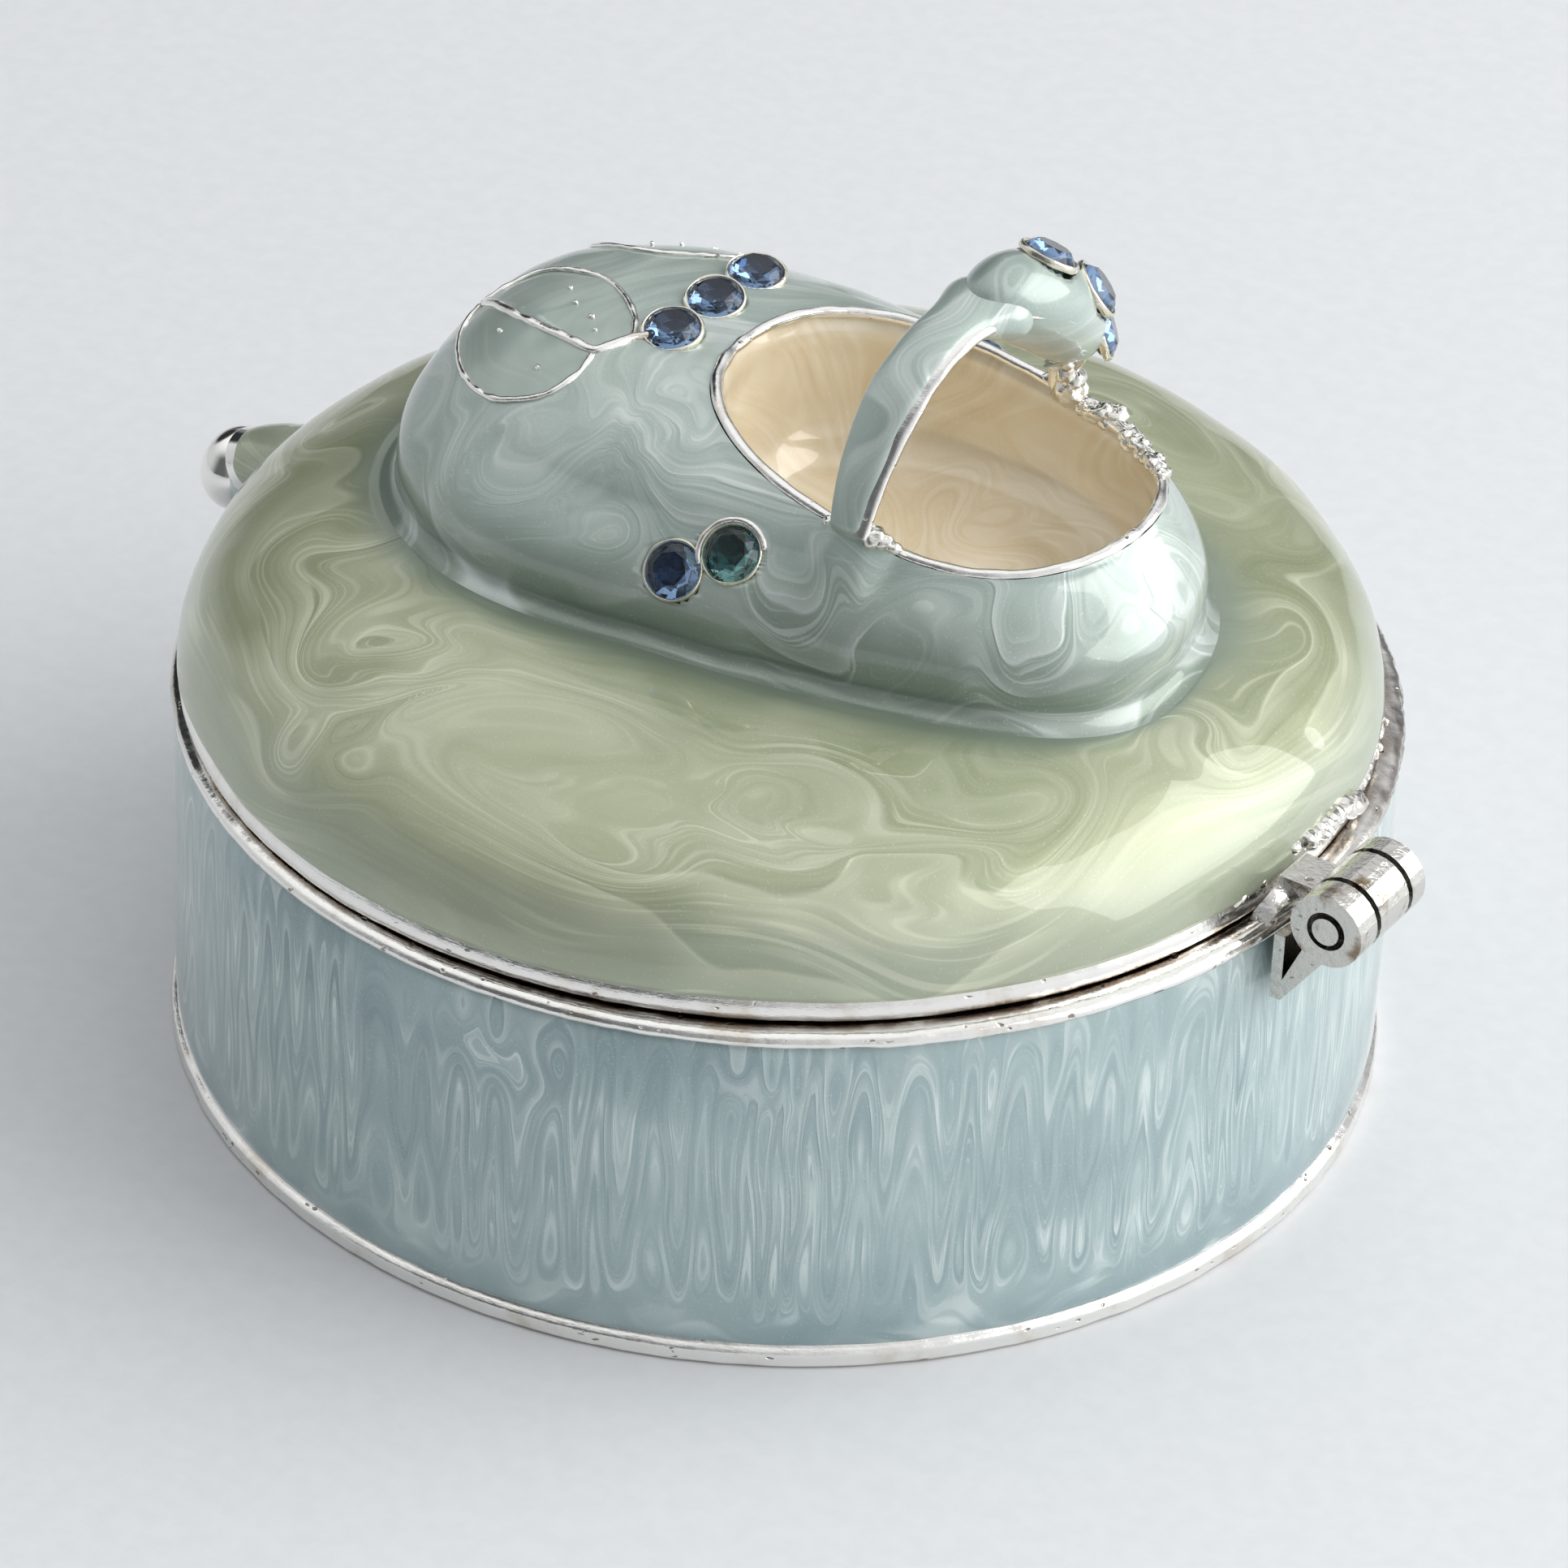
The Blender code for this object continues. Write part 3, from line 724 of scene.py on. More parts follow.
plateLook = {
    "clean": (0.93, 0.915, 0.885),
    "tarnish": (0.62, 0.52, 0.39),
    "dirt": (0.16, 0.10, 0.055),
    "pits": 0.75,
    "stain": 0.5,
    "stainScale": 0.35,
    "grainScale": 1.6,
    "smooth": 0.10,
    "rough": 0.26,
    "relief": 0.03,
}
solderLook = dict(
    plateLook,
    clean=(0.86, 0.84, 0.79),
    tarnish=(0.36, 0.28, 0.18),
    pits=0.3,
    stain=0.8,
    stainScale=0.9,
    grainScale=2.0,
    smooth=0.06,
    rough=0.20,
    relief=0.05,
)
hingeLook = dict(
    plateLook,
    clean=(0.68, 0.665, 0.63),
    tarnish=(0.26, 0.20, 0.13),
    pits=0.4,
    stain=0.95,
    stainScale=0.7,
    grainScale=3.2,
    rough=0.24,
    relief=0.045,
)
ballLook = dict(plateLook, pits=0.0, stain=0.1, smooth=0.04, rough=0.10, relief=0.006)
bezelLook = dict(plateLook, pits=0.3, clean=(0.83, 0.80, 0.68), stain=0.6, grainScale=3.0)
silver = silverPlate("silverPlate", plateLook)
hingeSilver = silverPlate("hingeSilver", hingeLook)
solder = silverPlate("solder", solderLook)
ballSilver = silverPlate("ballSilver", ballLook)
bezelSilver = silverPlate("bezelSilver", bezelLook)


# Cut glass with faint streaks in its surface.
def cutGlass(name, tint):
    plain = {"Transmission Weight": 0.97, "IOR": 1.48}
    material, wire, shader = newMaterial(name, plain)
    place = millimetres(wire)
    depth = noise(wire, place, 0.9, 2.0)
    plug(shader, "Base Color", wire.mixed(depth.ranged(0.4, 0.6), tint, tuple(c * 0.8 for c in tint)))
    plug(shader, "Roughness", noise(wire, place, 4.0, 2.0).ranged(0.4, 0.8, 0.0, 0.05, "LINEAR"))
    return material


sapphireGlass = cutGlass("sapphireGlass", (0.24, 0.38, 0.62))
tealGlass = cutGlass("tealGlass", (0.16, 0.36, 0.36))


# Foil behind the stones: each facet is painted its own tone between near-black and pale, as painted glints
# and dark reflections.
def paintedGlintFoil(name, s):
    material, wire, shader = newMaterial(name, {"Metallic": 0.6, "Roughness": 0.12})
    facet = pointMark(wire, "facet")
    grain = noise(wire, millimetres(wire), 3.0, 2.0)
    plug(shader, "Base Color", wire.mixed(facet + (grain - 0.5) * 0.3, s["deep"], s["pale"]))
    return material


foil = paintedGlintFoil("paintedGlintStoneFoil", {"deep": (0.006, 0.010, 0.022), "pale": (0.95, 0.98, 1.0)})
print("finishes made")

pan = {
    "columns": 480,
    "rimRadius": 25.4,
    "wallRadius": 25.2,
    "bore": 23.9,
    "height": 16.1,
    "footRim": 0.9,
    "topRim": 0.65,
    "floor": 1.5,
    "step": 0.09,
    "roughAt": 27,  # headings of the pitted stretch beside the hinge and of the brown smear
    "smearAt": -143,
}


def makePan(s):
    top, rim, side = s["height"], s["rimRadius"], s["wallRadius"] - 0.15
    corners = [
        (0.01, 0.02),
        (rim - 1.6, 0.02),
        (rim - 0.1, 0.0),
        (rim, 0.2),
        (rim - 0.02, s["footRim"] - 0.15),
        (side, s["footRim"]),
        (side, s["footRim"] + 0.5),
    ]
    foot = lathe(roundedProfile(corners, s["step"], 2), s["columns"])
    corners = [
        (side, top - s["topRim"] - 0.5),
        (side, top - s["topRim"]),
        (rim - 0.05, top - s["topRim"] + 0.08),
        (rim, top - 0.42),
        (rim - 0.04, top - 0.25),
        (rim - 0.15, top - 0.12),
        (rim - 0.33, top - 0.03),
        (rim - 0.55, top),
        (s["bore"] + 0.15, top),
        (s["bore"], top - 0.15),
        (s["bore"], s["floor"] + 0.8),
        (s["bore"] - 0.8, s["floor"]),
        (0.01, s["floor"]),
    ]
    upper = lathe(roundedProfile(corners, s["step"], 2), s["columns"])
    grids = []
    for grid, seed in ((foot, 3), (upper, 4)):
        normals = gridNormals(grid)
        dents = waves(grid, 2.4, seed) * 0.03 + waves(grid, 9.0, seed + 10) * 0.04
        out = np.hypot(grid[..., 0], grid[..., 1])
        edge = smoothstep(out, rim - 1.2, rim - 0.3)
        low = np.abs(grid[..., 2] - (top - s["topRim"])) < 0.09
        under = smoothstep(-out, -rim + 0.55, -rim + 0.85) * (grid[..., 2] > top - 1.5)
        stain = np.maximum(0.8 * low * (out > side), under)
        turn = np.degrees(np.arctan2(grid[..., 1], grid[..., 0]))
        rough = np.exp(-(((turn - s["roughAt"]) / 15) ** 2)) * (grid[..., 2] > top - 1.4) * edge
        smear = np.exp(-(((turn - s["smearAt"]) / 9) ** 2)) * (grid[..., 2] > top - 0.8) * edge
        dents = np.abs(dents) + rough * np.abs(waves(grid, 0.9, seed + 20)) * 0.12
        stain = np.maximum(stain, np.maximum(0.75 * rough, 0.6 * smear))
        grids.append((grid - normals * (dents * edge)[..., None], True, {"edge": stain}))
    newPiece("panMetal", grids, "base", silver, ["box_base"])


makePan(pan)

wall = {
    "columns": 1280,
    "rows": 64,
    "bulge": 0.12,
    "strokes": 84,
    "stroke": 4.4,  # how far a stroke drags the enamel up and down
    "point": 0.86,  # 1 would turn each stroke at a sharp point
    "jitter": [(7, 0.28), (13, 0.20), (23, 0.12), (41, 0.07)],  # (times round, share of a stroke)
    "curls": [  # (heading in degrees, height, half length, half width, strength)
        (-84.4, 12.7, 2.8, 1.1, 7.0),
        (-60.0, 13.2, 2.0, 0.8, -4.0),
        (35.0, 9.0, 2.4, 1.2, 6.0),
        (140.0, 11.0, 2.6, 1.2, -6.0),
    ],
}


# The wall is combed: a stylus drawn up and down through it leaves nested strokes that turn above the foot.
def makeWall(s):
    low, high = pan["footRim"] - 0.06, pan["height"] - pan["topRim"] + 0.06
    level = np.linspace(0, 1, s["rows"])
    roll = (1 - np.abs(2 * level - 1) ** 14) ** 0.5
    radius = pan["wallRadius"] - 0.18 + 0.18 * roll + s["bulge"] * roll * np.sin(pi * level) * 0.3
    grid = lathe(np.stack([radius, low + (high - low) * level], -1), s["columns"])
    z = grid[..., 2]
    turn = np.arctan2(grid[..., 1], grid[..., 0]) + waves(grid, 6.0, 22) * 0.006
    count = s["strokes"] * turn / (2 * pi)
    for times, size in s["jitter"]:
        count = count + size * np.sin(times * turn + times)
    stroke = np.arcsin(s["point"] * np.sin(2 * pi * count)) / np.arcsin(s["point"])
    reach = 1 + 0.30 * np.sin(5 * turn + 1) + 0.22 * np.sin(17 * turn) + 0.12 * np.sin(29 * turn + 2)
    ends = low + 1.2 + 0.8 * np.sin(19 * turn) * np.sin(31 * turn + 1)
    window = smoothstep(z, ends, ends + 2.4) * (1 - 0.75 * smoothstep(z, high - 2.6, high - 0.2))
    depth = waves(grid, 4.0, 23) * 0.8
    for degrees, height, long, wide, strength in s["curls"]:
        away = (turn - radians(degrees) + pi) % (2 * pi) - pi
        hill = np.exp(-((away * pan["rimRadius"] / long) ** 2) - ((z - height + away * 8) / wide) ** 2)
        window = window * (1 - hill)
        depth = depth + strength * hill
    depth = depth + z * 0.8 + s["stroke"] * reach * stroke * window
    run = np.sin(turn) * 20
    # Painted shade: the enamel is mixed darker towards the wall's foot.
    edge = 1 - smoothstep(z, low + 0.3, low + 2.2)
    given = {"flow": np.stack([run, z, depth], -1), "edge": edge}
    newPiece("wallEnamel", [(uneven(grid, 5.0, 21, 0.02), True, given)], "base", iceEnamel)


makeWall(wall)
print("base made")

stone = {
    "radius": 1.16,
    "lift": -0.1,
    "girdle": 0.12,
    "crown": 0.42,
    "table": 0.62,
    "pavilion": 0.40,
    "kite": (0.80, 0.62),  # share of the radius and of the crown
    "deep": (0.45, 0.72),  # share of the radius and of the pavilion
    "tip": 1.1,
    "seat": 0.75,  # how far the enamel gives way under a stone
    "bezel": (0.06, 0.09, 0.18),  # gap, half width, half height
    "arc": (20, 215),  # headings between which a second wire stands by the teal stone
    "arcWire": (0.22, 0.14, 0.12),
    "foil": [(1.12, -0.04), (0.98, -0.28), (0.66, -0.46), (0.30, -0.58), (0.02, -0.64)],
    "paintedGlintSide": (-0.3, -0.75, 0.2),  # the side of each stone whose foil facets are painted paler, as painted glints
    "vamp": (-5.9, 1.7, (-3.1, 0.0, 3.0)),  # u, v of the middle one, steps along v
    "side": ((0.5, 0.44), (2.5, 0.57)),  # u, height share
    "crest": ((58, 0.12), (40, 0.60), (24, 0.80)),  # place on the arch in degrees, lean
}
arch = {
    "turn": radians(8),
    "center": np.array([6.9, 0.6, 28.9]),
    "span": 7.1,
    "rise": 6.3,
    "lean": 0.6,
    "crestFrom": 16,  # degrees along the arch
    "crestTo": 85,
    "crestWide": 2.25,
    "crestHigh": 2.0,
    "crestLift": 0.5,
    "plateWide": 2.2,  # the crest's metal
}
archAcross = np.array([cos(arch["turn"]), -sin(arch["turn"]), 0.0])
archSpan = np.array([sin(arch["turn"]), cos(arch["turn"]), 0.0])


# A point on the middle line of the strap's arch, and the direction there that faces away from the foot.
def archPoint(angle):
    angle = np.asarray(angle, float)[..., None]
    high, slope = np.sin(angle), np.cos(angle)
    near = slope < 0  # the near leg is straighter than the far one
    high, slope = np.where(near, high * np.abs(high), high), np.where(near, 2 * slope * np.abs(high), slope)
    point = arch["center"] + archSpan * arch["span"] * np.cos(angle) + upward * arch["rise"] * high
    out = unit(archSpan * slope * arch["rise"] + upward * arch["span"] * np.sin(angle))
    return point, out


# How full the crest is at a share of its length, from -1 at one end to 1 at the other.
def crestSwell(share):
    return np.sqrt(np.maximum(0.02, 1 - np.abs(share) ** 2.2))


def crestSpot(degrees, lean):
    s = arch
    point, out = archPoint(radians(degrees))
    swell = crestSwell((2 * degrees - s["crestFrom"] - s["crestTo"]) / (s["crestTo"] - s["crestFrom"]))
    point = point + out * (s["crestLift"] + s["crestHigh"] * swell * cos(lean))
    point = point + archAcross * (s["plateWide"] * swell * sin(lean))
    return point, unit(out * cos(lean) + archAcross * sin(lean))


stoneSpots = {}
vampAt, vampMiddle, vampSteps = stone["vamp"]
for number, step in enumerate(vampSteps):
    spot, axis = upperSpot(vampAt, vampMiddle + step, 0.2)
    stoneSpots[f"vamp_stone_{number + 1}"] = spot, unit(axis + (0.10, -0.26, 0.0))
for side, word in ((-1, "near"), (1, "far")):
    for number, spot in enumerate(stone["side"]):
        stoneSpots[f"{word}_side_stone_{number + 1}"] = sideSpot(*spot, side)
for number, spot in enumerate(stone["crest"]):
    stoneSpots[f"strap_stone_{number + 1}"] = crestSpot(*spot)


# Sinks a skin under each stone that sits in it.
def sinkSeats(grid, names):
    radius = stone["radius"] + 0.08
    for name in names:
        center, axis = stoneSpots[name]
        away = grid - center
        along = away @ axis
        aside = np.linalg.norm(away - along[..., None] * axis, axis=-1)
        inside = (1 - smoothstep(aside, radius - 0.14, radius)) * (np.abs(along) < 2.0)
        grid = grid - axis * (inside * stone["seat"])[..., None]
    return grid


shoeStones = [name for name in stoneSpots if not name.startswith("strap")]
crestStones = [name for name in stoneSpots if name.startswith("strap")]

dome = {
    "columns": 512,
    "rows": 180,
    "shoulder": 0.89,  # share of the rise where the rings stop following the shoe's outline
    "eddies": 14,
    "turns": 0.16,
}
# Swirls on the dome: (x, y, half width, strength, heading in degrees, stretch)
domeSwirls = [
    (0.6, -17.8, 3.0, 2.6, 20, 1.7),
    (-8.8, -17.7, 2.5, -2.2, 40, 1.4),
    (10.5, -14.9, 2.6, 2.3, 15, 1.3),
    (16.7, -9.7, 2.6, -2.2, 60, 1.4),
    (20.7, -1.5, 2.2, 2.2, 0, 1.0),
    (18.8, 7.7, 2.5, -2.2, 80, 1.2),
    (-15.7, -9.8, 2.6, 2.2, 50, 1.3),
    (17.0, -16.0, 2.3, 1.9, 40, 1.6),
    (6.1, -21.7, 2.0, -1.8, 10, 1.5),
    (-7.8, -22.3, 2.0, 1.8, 30, 1.4),
    (8.3, 15.0, 2.8, 2.2, -20, 1.5),
    (4.6, 18.5, 2.0, -1.6, 0, 1.0),
    (-9.9, -22.7, 1.6, -1.5, 30, 1.0),
    (12.5, -17.8, 1.6, -1.3, 0, 1.2),
    (-21.0, -3.0, 2.4, -2.0, 80, 1.4),
    (-20.5, 6.5, 2.4, 2.0, -70, 1.4),
    (-15.0, 14.5, 2.8, -2.2, -40, 1.5),
    (-5.0, 19.0, 2.8, 2.2, 0, 1.4),
    (15.0, 15.5, 2.6, -2.0, -50, 1.3),
]


def makeDome(s):
    turn = fullTurn(s["columns"])
    inner = outside(*solePoint(turn, offset=shoeShape["fillet"]), shoeShape["base"])[:, :2]
    cx, cy = lidShape["center"]
    shoulder = domeRadius(s["shoulder"])
    edge = np.stack([cx + shoulder * np.cos(turn), cy + shoulder * np.sin(turn)], -1)
    rows = []
    for share in np.linspace(0, 1, 60, endpoint=False):
        plan = inner * (1 - share) + edge * share
        rows.append(np.concatenate([plan, domeHeight(plan[:, 0], plan[:, 1])[:, None]], 1))
    for level in np.linspace(s["shoulder"], lidShape["band"] / lidShape["rise"], 160):
        r = domeRadius(level)
        z = np.full_like(turn, lidShape["bottom"] + lidShape["rise"] * level)
        rows.append(np.stack([cx + r * np.cos(turn), cy + r * np.sin(turn), z], -1))
    grid = evenRows(np.array(rows), s["rows"])
    normals = -gridNormals(grid)
    row = np.arange(s["rows"])[:, None]
    relief = 0.04 + waves(grid, 7.0, 31) * 0.05 + waves(grid, 3.0, 32) * 0.015
    edgeRoll = 0.10 * smoothstep(row, s["rows"] - 4, s["rows"] - 1)
    shaped = grid + normals * (relief * smoothstep(row, 0, 10) - edgeRoll)[..., None]
    x, y = grid[..., 0] - cx, grid[..., 1] - cy
    reach = np.hypot(x, y)
    drop = lidShape["bottom"] + lidShape["rise"] - grid[..., 2]
    spread = (reach + 0.8 * drop) / np.maximum(reach, 1e-6)
    flat = np.stack([x * spread, y * spread, np.zeros_like(x)], -1)
    eddies = []
    for ex, ey, size, strength, heading, stretch in domeSwirls:
        heading = radians(heading)
        toward = (cos(heading), sin(heading), 0)
        eddies.append(((ex - cx, ey - cy, 0), size * stretch, size, strength, (0, 0, 1), toward))
    numbers = np.random.default_rng(11)
    for _ in range(s["eddies"]):
        far, angle, size = numbers.uniform(9, 27), numbers.uniform(0, 2 * pi), numbers.uniform(1.6, 2.6)
        heading = numbers.uniform(0, 2 * pi)
        strength = numbers.choice([-1, 1]) * numbers.uniform(0.5, 1.0) * size
        center = (far * cos(angle), far * sin(angle), 0)
        eddies.append((center, size * 1.6, size, strength, (0, 0, 1), (cos(heading), sin(heading), 0)))
    stirred = stir(flat, eddies, s["turns"])
    depth = 0.5 * np.hypot(stirred[..., 0], stirred[..., 1]) + waves(stirred, 16.0, 33) * 1.5
    depth = depth + 0.7 * hills(flat, eddies)
    flow = flowOf(stirred, depth)
    beside = np.linalg.norm(grid[:, :, :2] - grid[:1, :, :2], axis=-1)
    # Painted reflection: a pale bluish tint towards the rim. Painted shade: the enamel darkened in the crease
    # round the shoe's foot, with no pearl threads there.
    given = {"flow": flow, "edge": 0.8 * smoothstep(reach, 22.6, 24.4)}
    given["cell"] = 1.15 * np.exp(-((beside / 1.5) ** 2))
    newPiece("domeEnamel", [(shaped, True, given)], "lid", sageEnamel)


makeDome(dome)

band = {"columns": 480, "step": 0.1, "drop": 0.2}  # drop: how far the band hangs below the dome's enamel


def makeBand(s):
    cx, cy = lidShape["center"]
    rim, bottom, wallIn = lidShape["radius"], lidShape["bottom"], lidShape["wall"]
    bandTop, foot = lidShape["band"], bottom - s["drop"]
    corners = [
        (domeRadius(0.2) - 0.25, bottom + lidShape["rise"] * 0.2),
        (domeRadius(bandTop / lidShape["rise"]) - 0.12, bottom + bandTop),
        (rim - 0.03, foot + bandTop - 0.08),
        (rim, foot + 0.2),
        (rim - 0.12, foot),
        (rim - wallIn, foot),
    ]
    for level in np.linspace(0.1, 0.9, 18):
        corners.append((domeRadius(level, wallIn), bottom + (lidShape["rise"] - wallIn) * level))
    for radius in np.linspace(domeRadius(0.9, wallIn), 0.01, 14)[1:]:
        corners.append((radius, float(domeHeight(cx + radius, cy, wallIn))))
    grid = lathe(roundedProfile(corners, s["step"], 1), s["columns"], (cx, cy))
    normals = gridNormals(grid)
    dents = waves(grid, 1.6, 41) * 0.015 + waves(grid, 8.0, 42) * 0.03
    edge = smoothstep(np.hypot(grid[..., 0] - cx, grid[..., 1] - cy), rim - 1.0, rim - 0.2)
    grid = grid - normals * (np.abs(dents) * edge)[..., None]
    under = 1 - smoothstep(grid[..., 2], foot + 0.02, bottom + 0.12)
    newPiece("lidMetal", [(grid, True, {"edge": under})], "lid", silver, ["lid"])


makeBand(band)

# Petals on the vamp, mirrored across the row of stones.
petal = {
    "wire": 0.135,
    "vein": 0.21,
    "steps": 90,
    "mirror": 4.6,
    "speck": 0.13,
    "specks": [(-9.3, -2.2), (-10.5, -1.6), (-8.6, -3.0), (-12.3, -4.4), (-9.4, -5.9), (-11.4, -0.7)],
}
petalLines = {  # (u, v) pairs on the sole's plan
    "vein": [
        (-6.3, -1.9),
        (-6.9, -2.5),
        (-7.4, -3.5),
        (-7.9, -4.2),
        (-9.3, -4.0),
        (-10.9, -3.7),
        (-12.7, -3.1),
        (-14.9, -1.9),
    ],
    "upper": [
        (-7.7, -4.3),
        (-7.0, -3.0),
        (-7.5, -1.7),
        (-8.6, -0.5),
        (-10.4, 0.6),
        (-12.3, 0.7),
        (-13.8, 0.2),
        (-14.9, -1.8),
    ],
    "lower": [
        (-7.7, -4.4),
        (-7.6, -5.8),
        (-8.3, -7.0),
        (-10.0, -7.5),
        (-11.6, -7.1),
        (-13.2, -5.9),
        (-14.5, -4.0),
        (-14.9, -2.0),
    ],
}


# Smooth curve through plan points.
def curveThrough(points, steps):
    points = np.asarray(points, float)
    padded = np.concatenate([2 * points[:1] - points[1:2], points, 2 * points[-1:] - points[-2:-1]])
    out = []
    spans = len(points) - 1
    for t in np.linspace(0, spans, steps):
        i = min(int(t), spans - 1)
        f = t - i
        a, b, c, d = padded[i : i + 4]
        bent = (2 * a - 5 * b + 4 * c - d) * f * f + (3 * b - a - 3 * c + d) * f**3
        out.append(0.5 * (2 * b + (c - a) * f + bent))
    return np.array(out)


# 1 inside the petals of both sides, 0 outside.
def petalShare(grid):
    u, v = grid[..., 0] - shoeShape["center"][0], grid[..., 1] - shoeShape["center"][1]
    inside = np.zeros(u.shape)
    for key in ("upper", "lower"):
        line = curveThrough(petalLines[key], 60)
        ends = np.roll(line, -1, axis=0)
        for w in (v, petal["mirror"] - v):
            crossings = np.zeros(u.shape, int)
            for (au, av), (bu, bv) in zip(line, ends):
                over = (av > w) != (bv > w)
                crossings += over & (u < au + (w - av) / (bv - av if bv != av else 1e-9) * (bu - au))
            inside = np.maximum(inside, crossings % 2)
    return inside * (grid[..., 2] > shoeShape["base"] + 3.0)


shoe = {
    "columns": 512,
    "rows": 150,
    "footSwell": 0.9,  # how far the side rises to meet the strap
    "eddies": 12,
    "turns": 0.22,
}
# Swirls on the shoe: (u, v on the sole's plan, height share, half width, strength)
shoeSwirls = [
    (-8.0, -8.5, 0.55, 2.4, 3.6),
    (-13.5, -5.0, 0.5, 2.0, -2.4),
    (-3.5, -9.0, 0.5, 1.9, -3.0),
    (-2.5, -6.5, 0.85, 1.7, 2.4),
    (5.5, -10.0, 0.5, 1.7, 2.4),
    (10.0, -9.0, 0.4, 1.8, -2.4),
    (14.5, -6.0, 0.4, 2.0, 2.4),
    (17.0, 0.0, 0.5, 2.2, -1.9),
    (-16.0, 2.5, 0.4, 2.2, 2.0),
    (-10.0, 9.0, 0.45, 2.2, -2.0),
    (-2.0, 11.0, 0.4, 2.0, 1.8),
    (6.0, 11.0, 0.4, 2.0, -1.8),
    (13.0, 8.5, 0.4, 2.0, 1.8),
    (-5.0, -4.5, 0.97, 1.6, 1.5),
    (-12.0, 1.7, 0.9, 1.8, -1.4),
]


def makeShoe(s):
    turn = fullTurn(s["columns"])
    rows = []
    for bend in np.linspace(0.5 * pi, 0.1 * pi, 14):
        ring = outside(*solePoint(turn, offset=shoeShape["fillet"] * (1 - cos(bend))), shoeShape["base"])
        ring[:, 2] = domeHeight(ring[:, 0], ring[:, 1]) + shoeShape["fillet"] * (1 - sin(bend))
        rows.append(ring)
    for level in np.linspace(0.12, 0.5, 16):
        u, v = upperRing(turn, level)
        rows.append(outside(u, v, upperHeight(u, v)))
    startU, startV = upperRing(turn, 0.5)
    endU, endV = mouthPoint(turn)
    for share in np.linspace(0, 1, 60)[1:]:
        u, v = startU + (endU - startU) * share, startV + (endV - startV) * share
        rows.append(outside(u, v, upperHeight(u, v)))
    grid = softenRows(evenRows(np.array(rows), s["rows"]), 4)
    normals = gridNormals(grid)
    row = np.arange(s["rows"])[:, None]
    fade = smoothstep(row, 2, 14) * smoothstep(s["rows"] - row, 2, 10)
    relief = waves(grid, 5.0, 51) * 0.05 + waves(grid, 2.2, 52) * 0.012
    foot = archPoint(radians(179))[0] + archAcross * arch["lean"]
    aside = (grid - foot) @ archAcross
    away = np.sqrt(np.maximum(np.linalg.norm(grid - foot, axis=-1) ** 2 - aside**2, 0))
    swell = s["footSwell"] * np.exp(-((aside / 1.3) ** 4) - (away / 2.0) ** 2)
    shaped = grid + normals * (relief * fade + swell)[..., None]
    shaped = sinkSeats(shaped, shoeStones)
    eddies = []
    numbers = np.random.default_rng(12)
    spots = list(shoeSwirls)
    for _ in range(s["eddies"]):
        spot = grid[numbers.integers(8, s["rows"] - 6), numbers.integers(0, s["columns"])]
        spot = spot - (*shoeShape["center"], shoeShape["base"])
        size = numbers.uniform(1.2, 1.8)
        spots.append((*spot[:2], spot[2] / shoeShape["height"], size, numbers.choice([-1, 1]) * 0.8 * size))
    for u, v, share, size, strength in spots:
        center = onLid(u, v, shoeShape["base"] + shoeShape["height"] * share)
        nearest = np.linalg.norm(grid - center, axis=-1).argmin()
        center, normal = grid.reshape(-1, 3)[nearest], normals.reshape(-1, 3)[nearest]
        heading = (numbers.uniform(-1, 1), numbers.uniform(-1, 1), numbers.uniform(-0.5, 1))
        eddies.append((center, size * 1.4, size, strength, normal, heading))
    climb = np.linalg.norm(np.diff(grid, axis=0, prepend=grid[:1]), axis=-1).cumsum(axis=0)
    stirred = stir(grid, eddies, s["turns"])
    depth = 0.45 * climb + waves(stirred, 11.0, 53) * 1.1 + 0.7 * hills(grid, eddies)
    flow = flowOf(stirred, depth)
    # Painted shade: a dark band above the shoe's foot, taller on the near side and towards the heel.
    nearSide = smoothstep(-grid[..., 1], -4.0, 6.0)
    shaded = 2.2 + nearSide * (3.6 + 3.0 * smoothstep(grid[..., 0], 0, 8)) + waves(grid, 9.0, 55)
    edge = 1.1 * (1 - smoothstep(climb, 0.3, shaded))
    given = {"flow": flow, "edge": edge, "cell": petalShare(grid)}
    newPiece("shoeEnamel", [(shaped, True, given)], "lid", aquaEnamel)


makeShoe(shoe)

lining = {
    "columns": 256,
    "rows": 90,
    "hollow": [  # (share of the depth, share of the mouth's width)
        (0.12, 1.0),
        (0.3, 1.02),
        (0.6, 1.0),
        (0.8, 0.94),
        (0.94, 0.82),
        (1.0, 0.62),
        (1.0, 0.3),
        (1.0, 0.001),
    ],
    "eddies": [(0, -1, 2.8, 2.0), (8, 4, 3.0, -2.0), (12, 0, 3.0, 2.2), (4, 6, 2.6, -2.0)],
    "turns": 0.2,
}


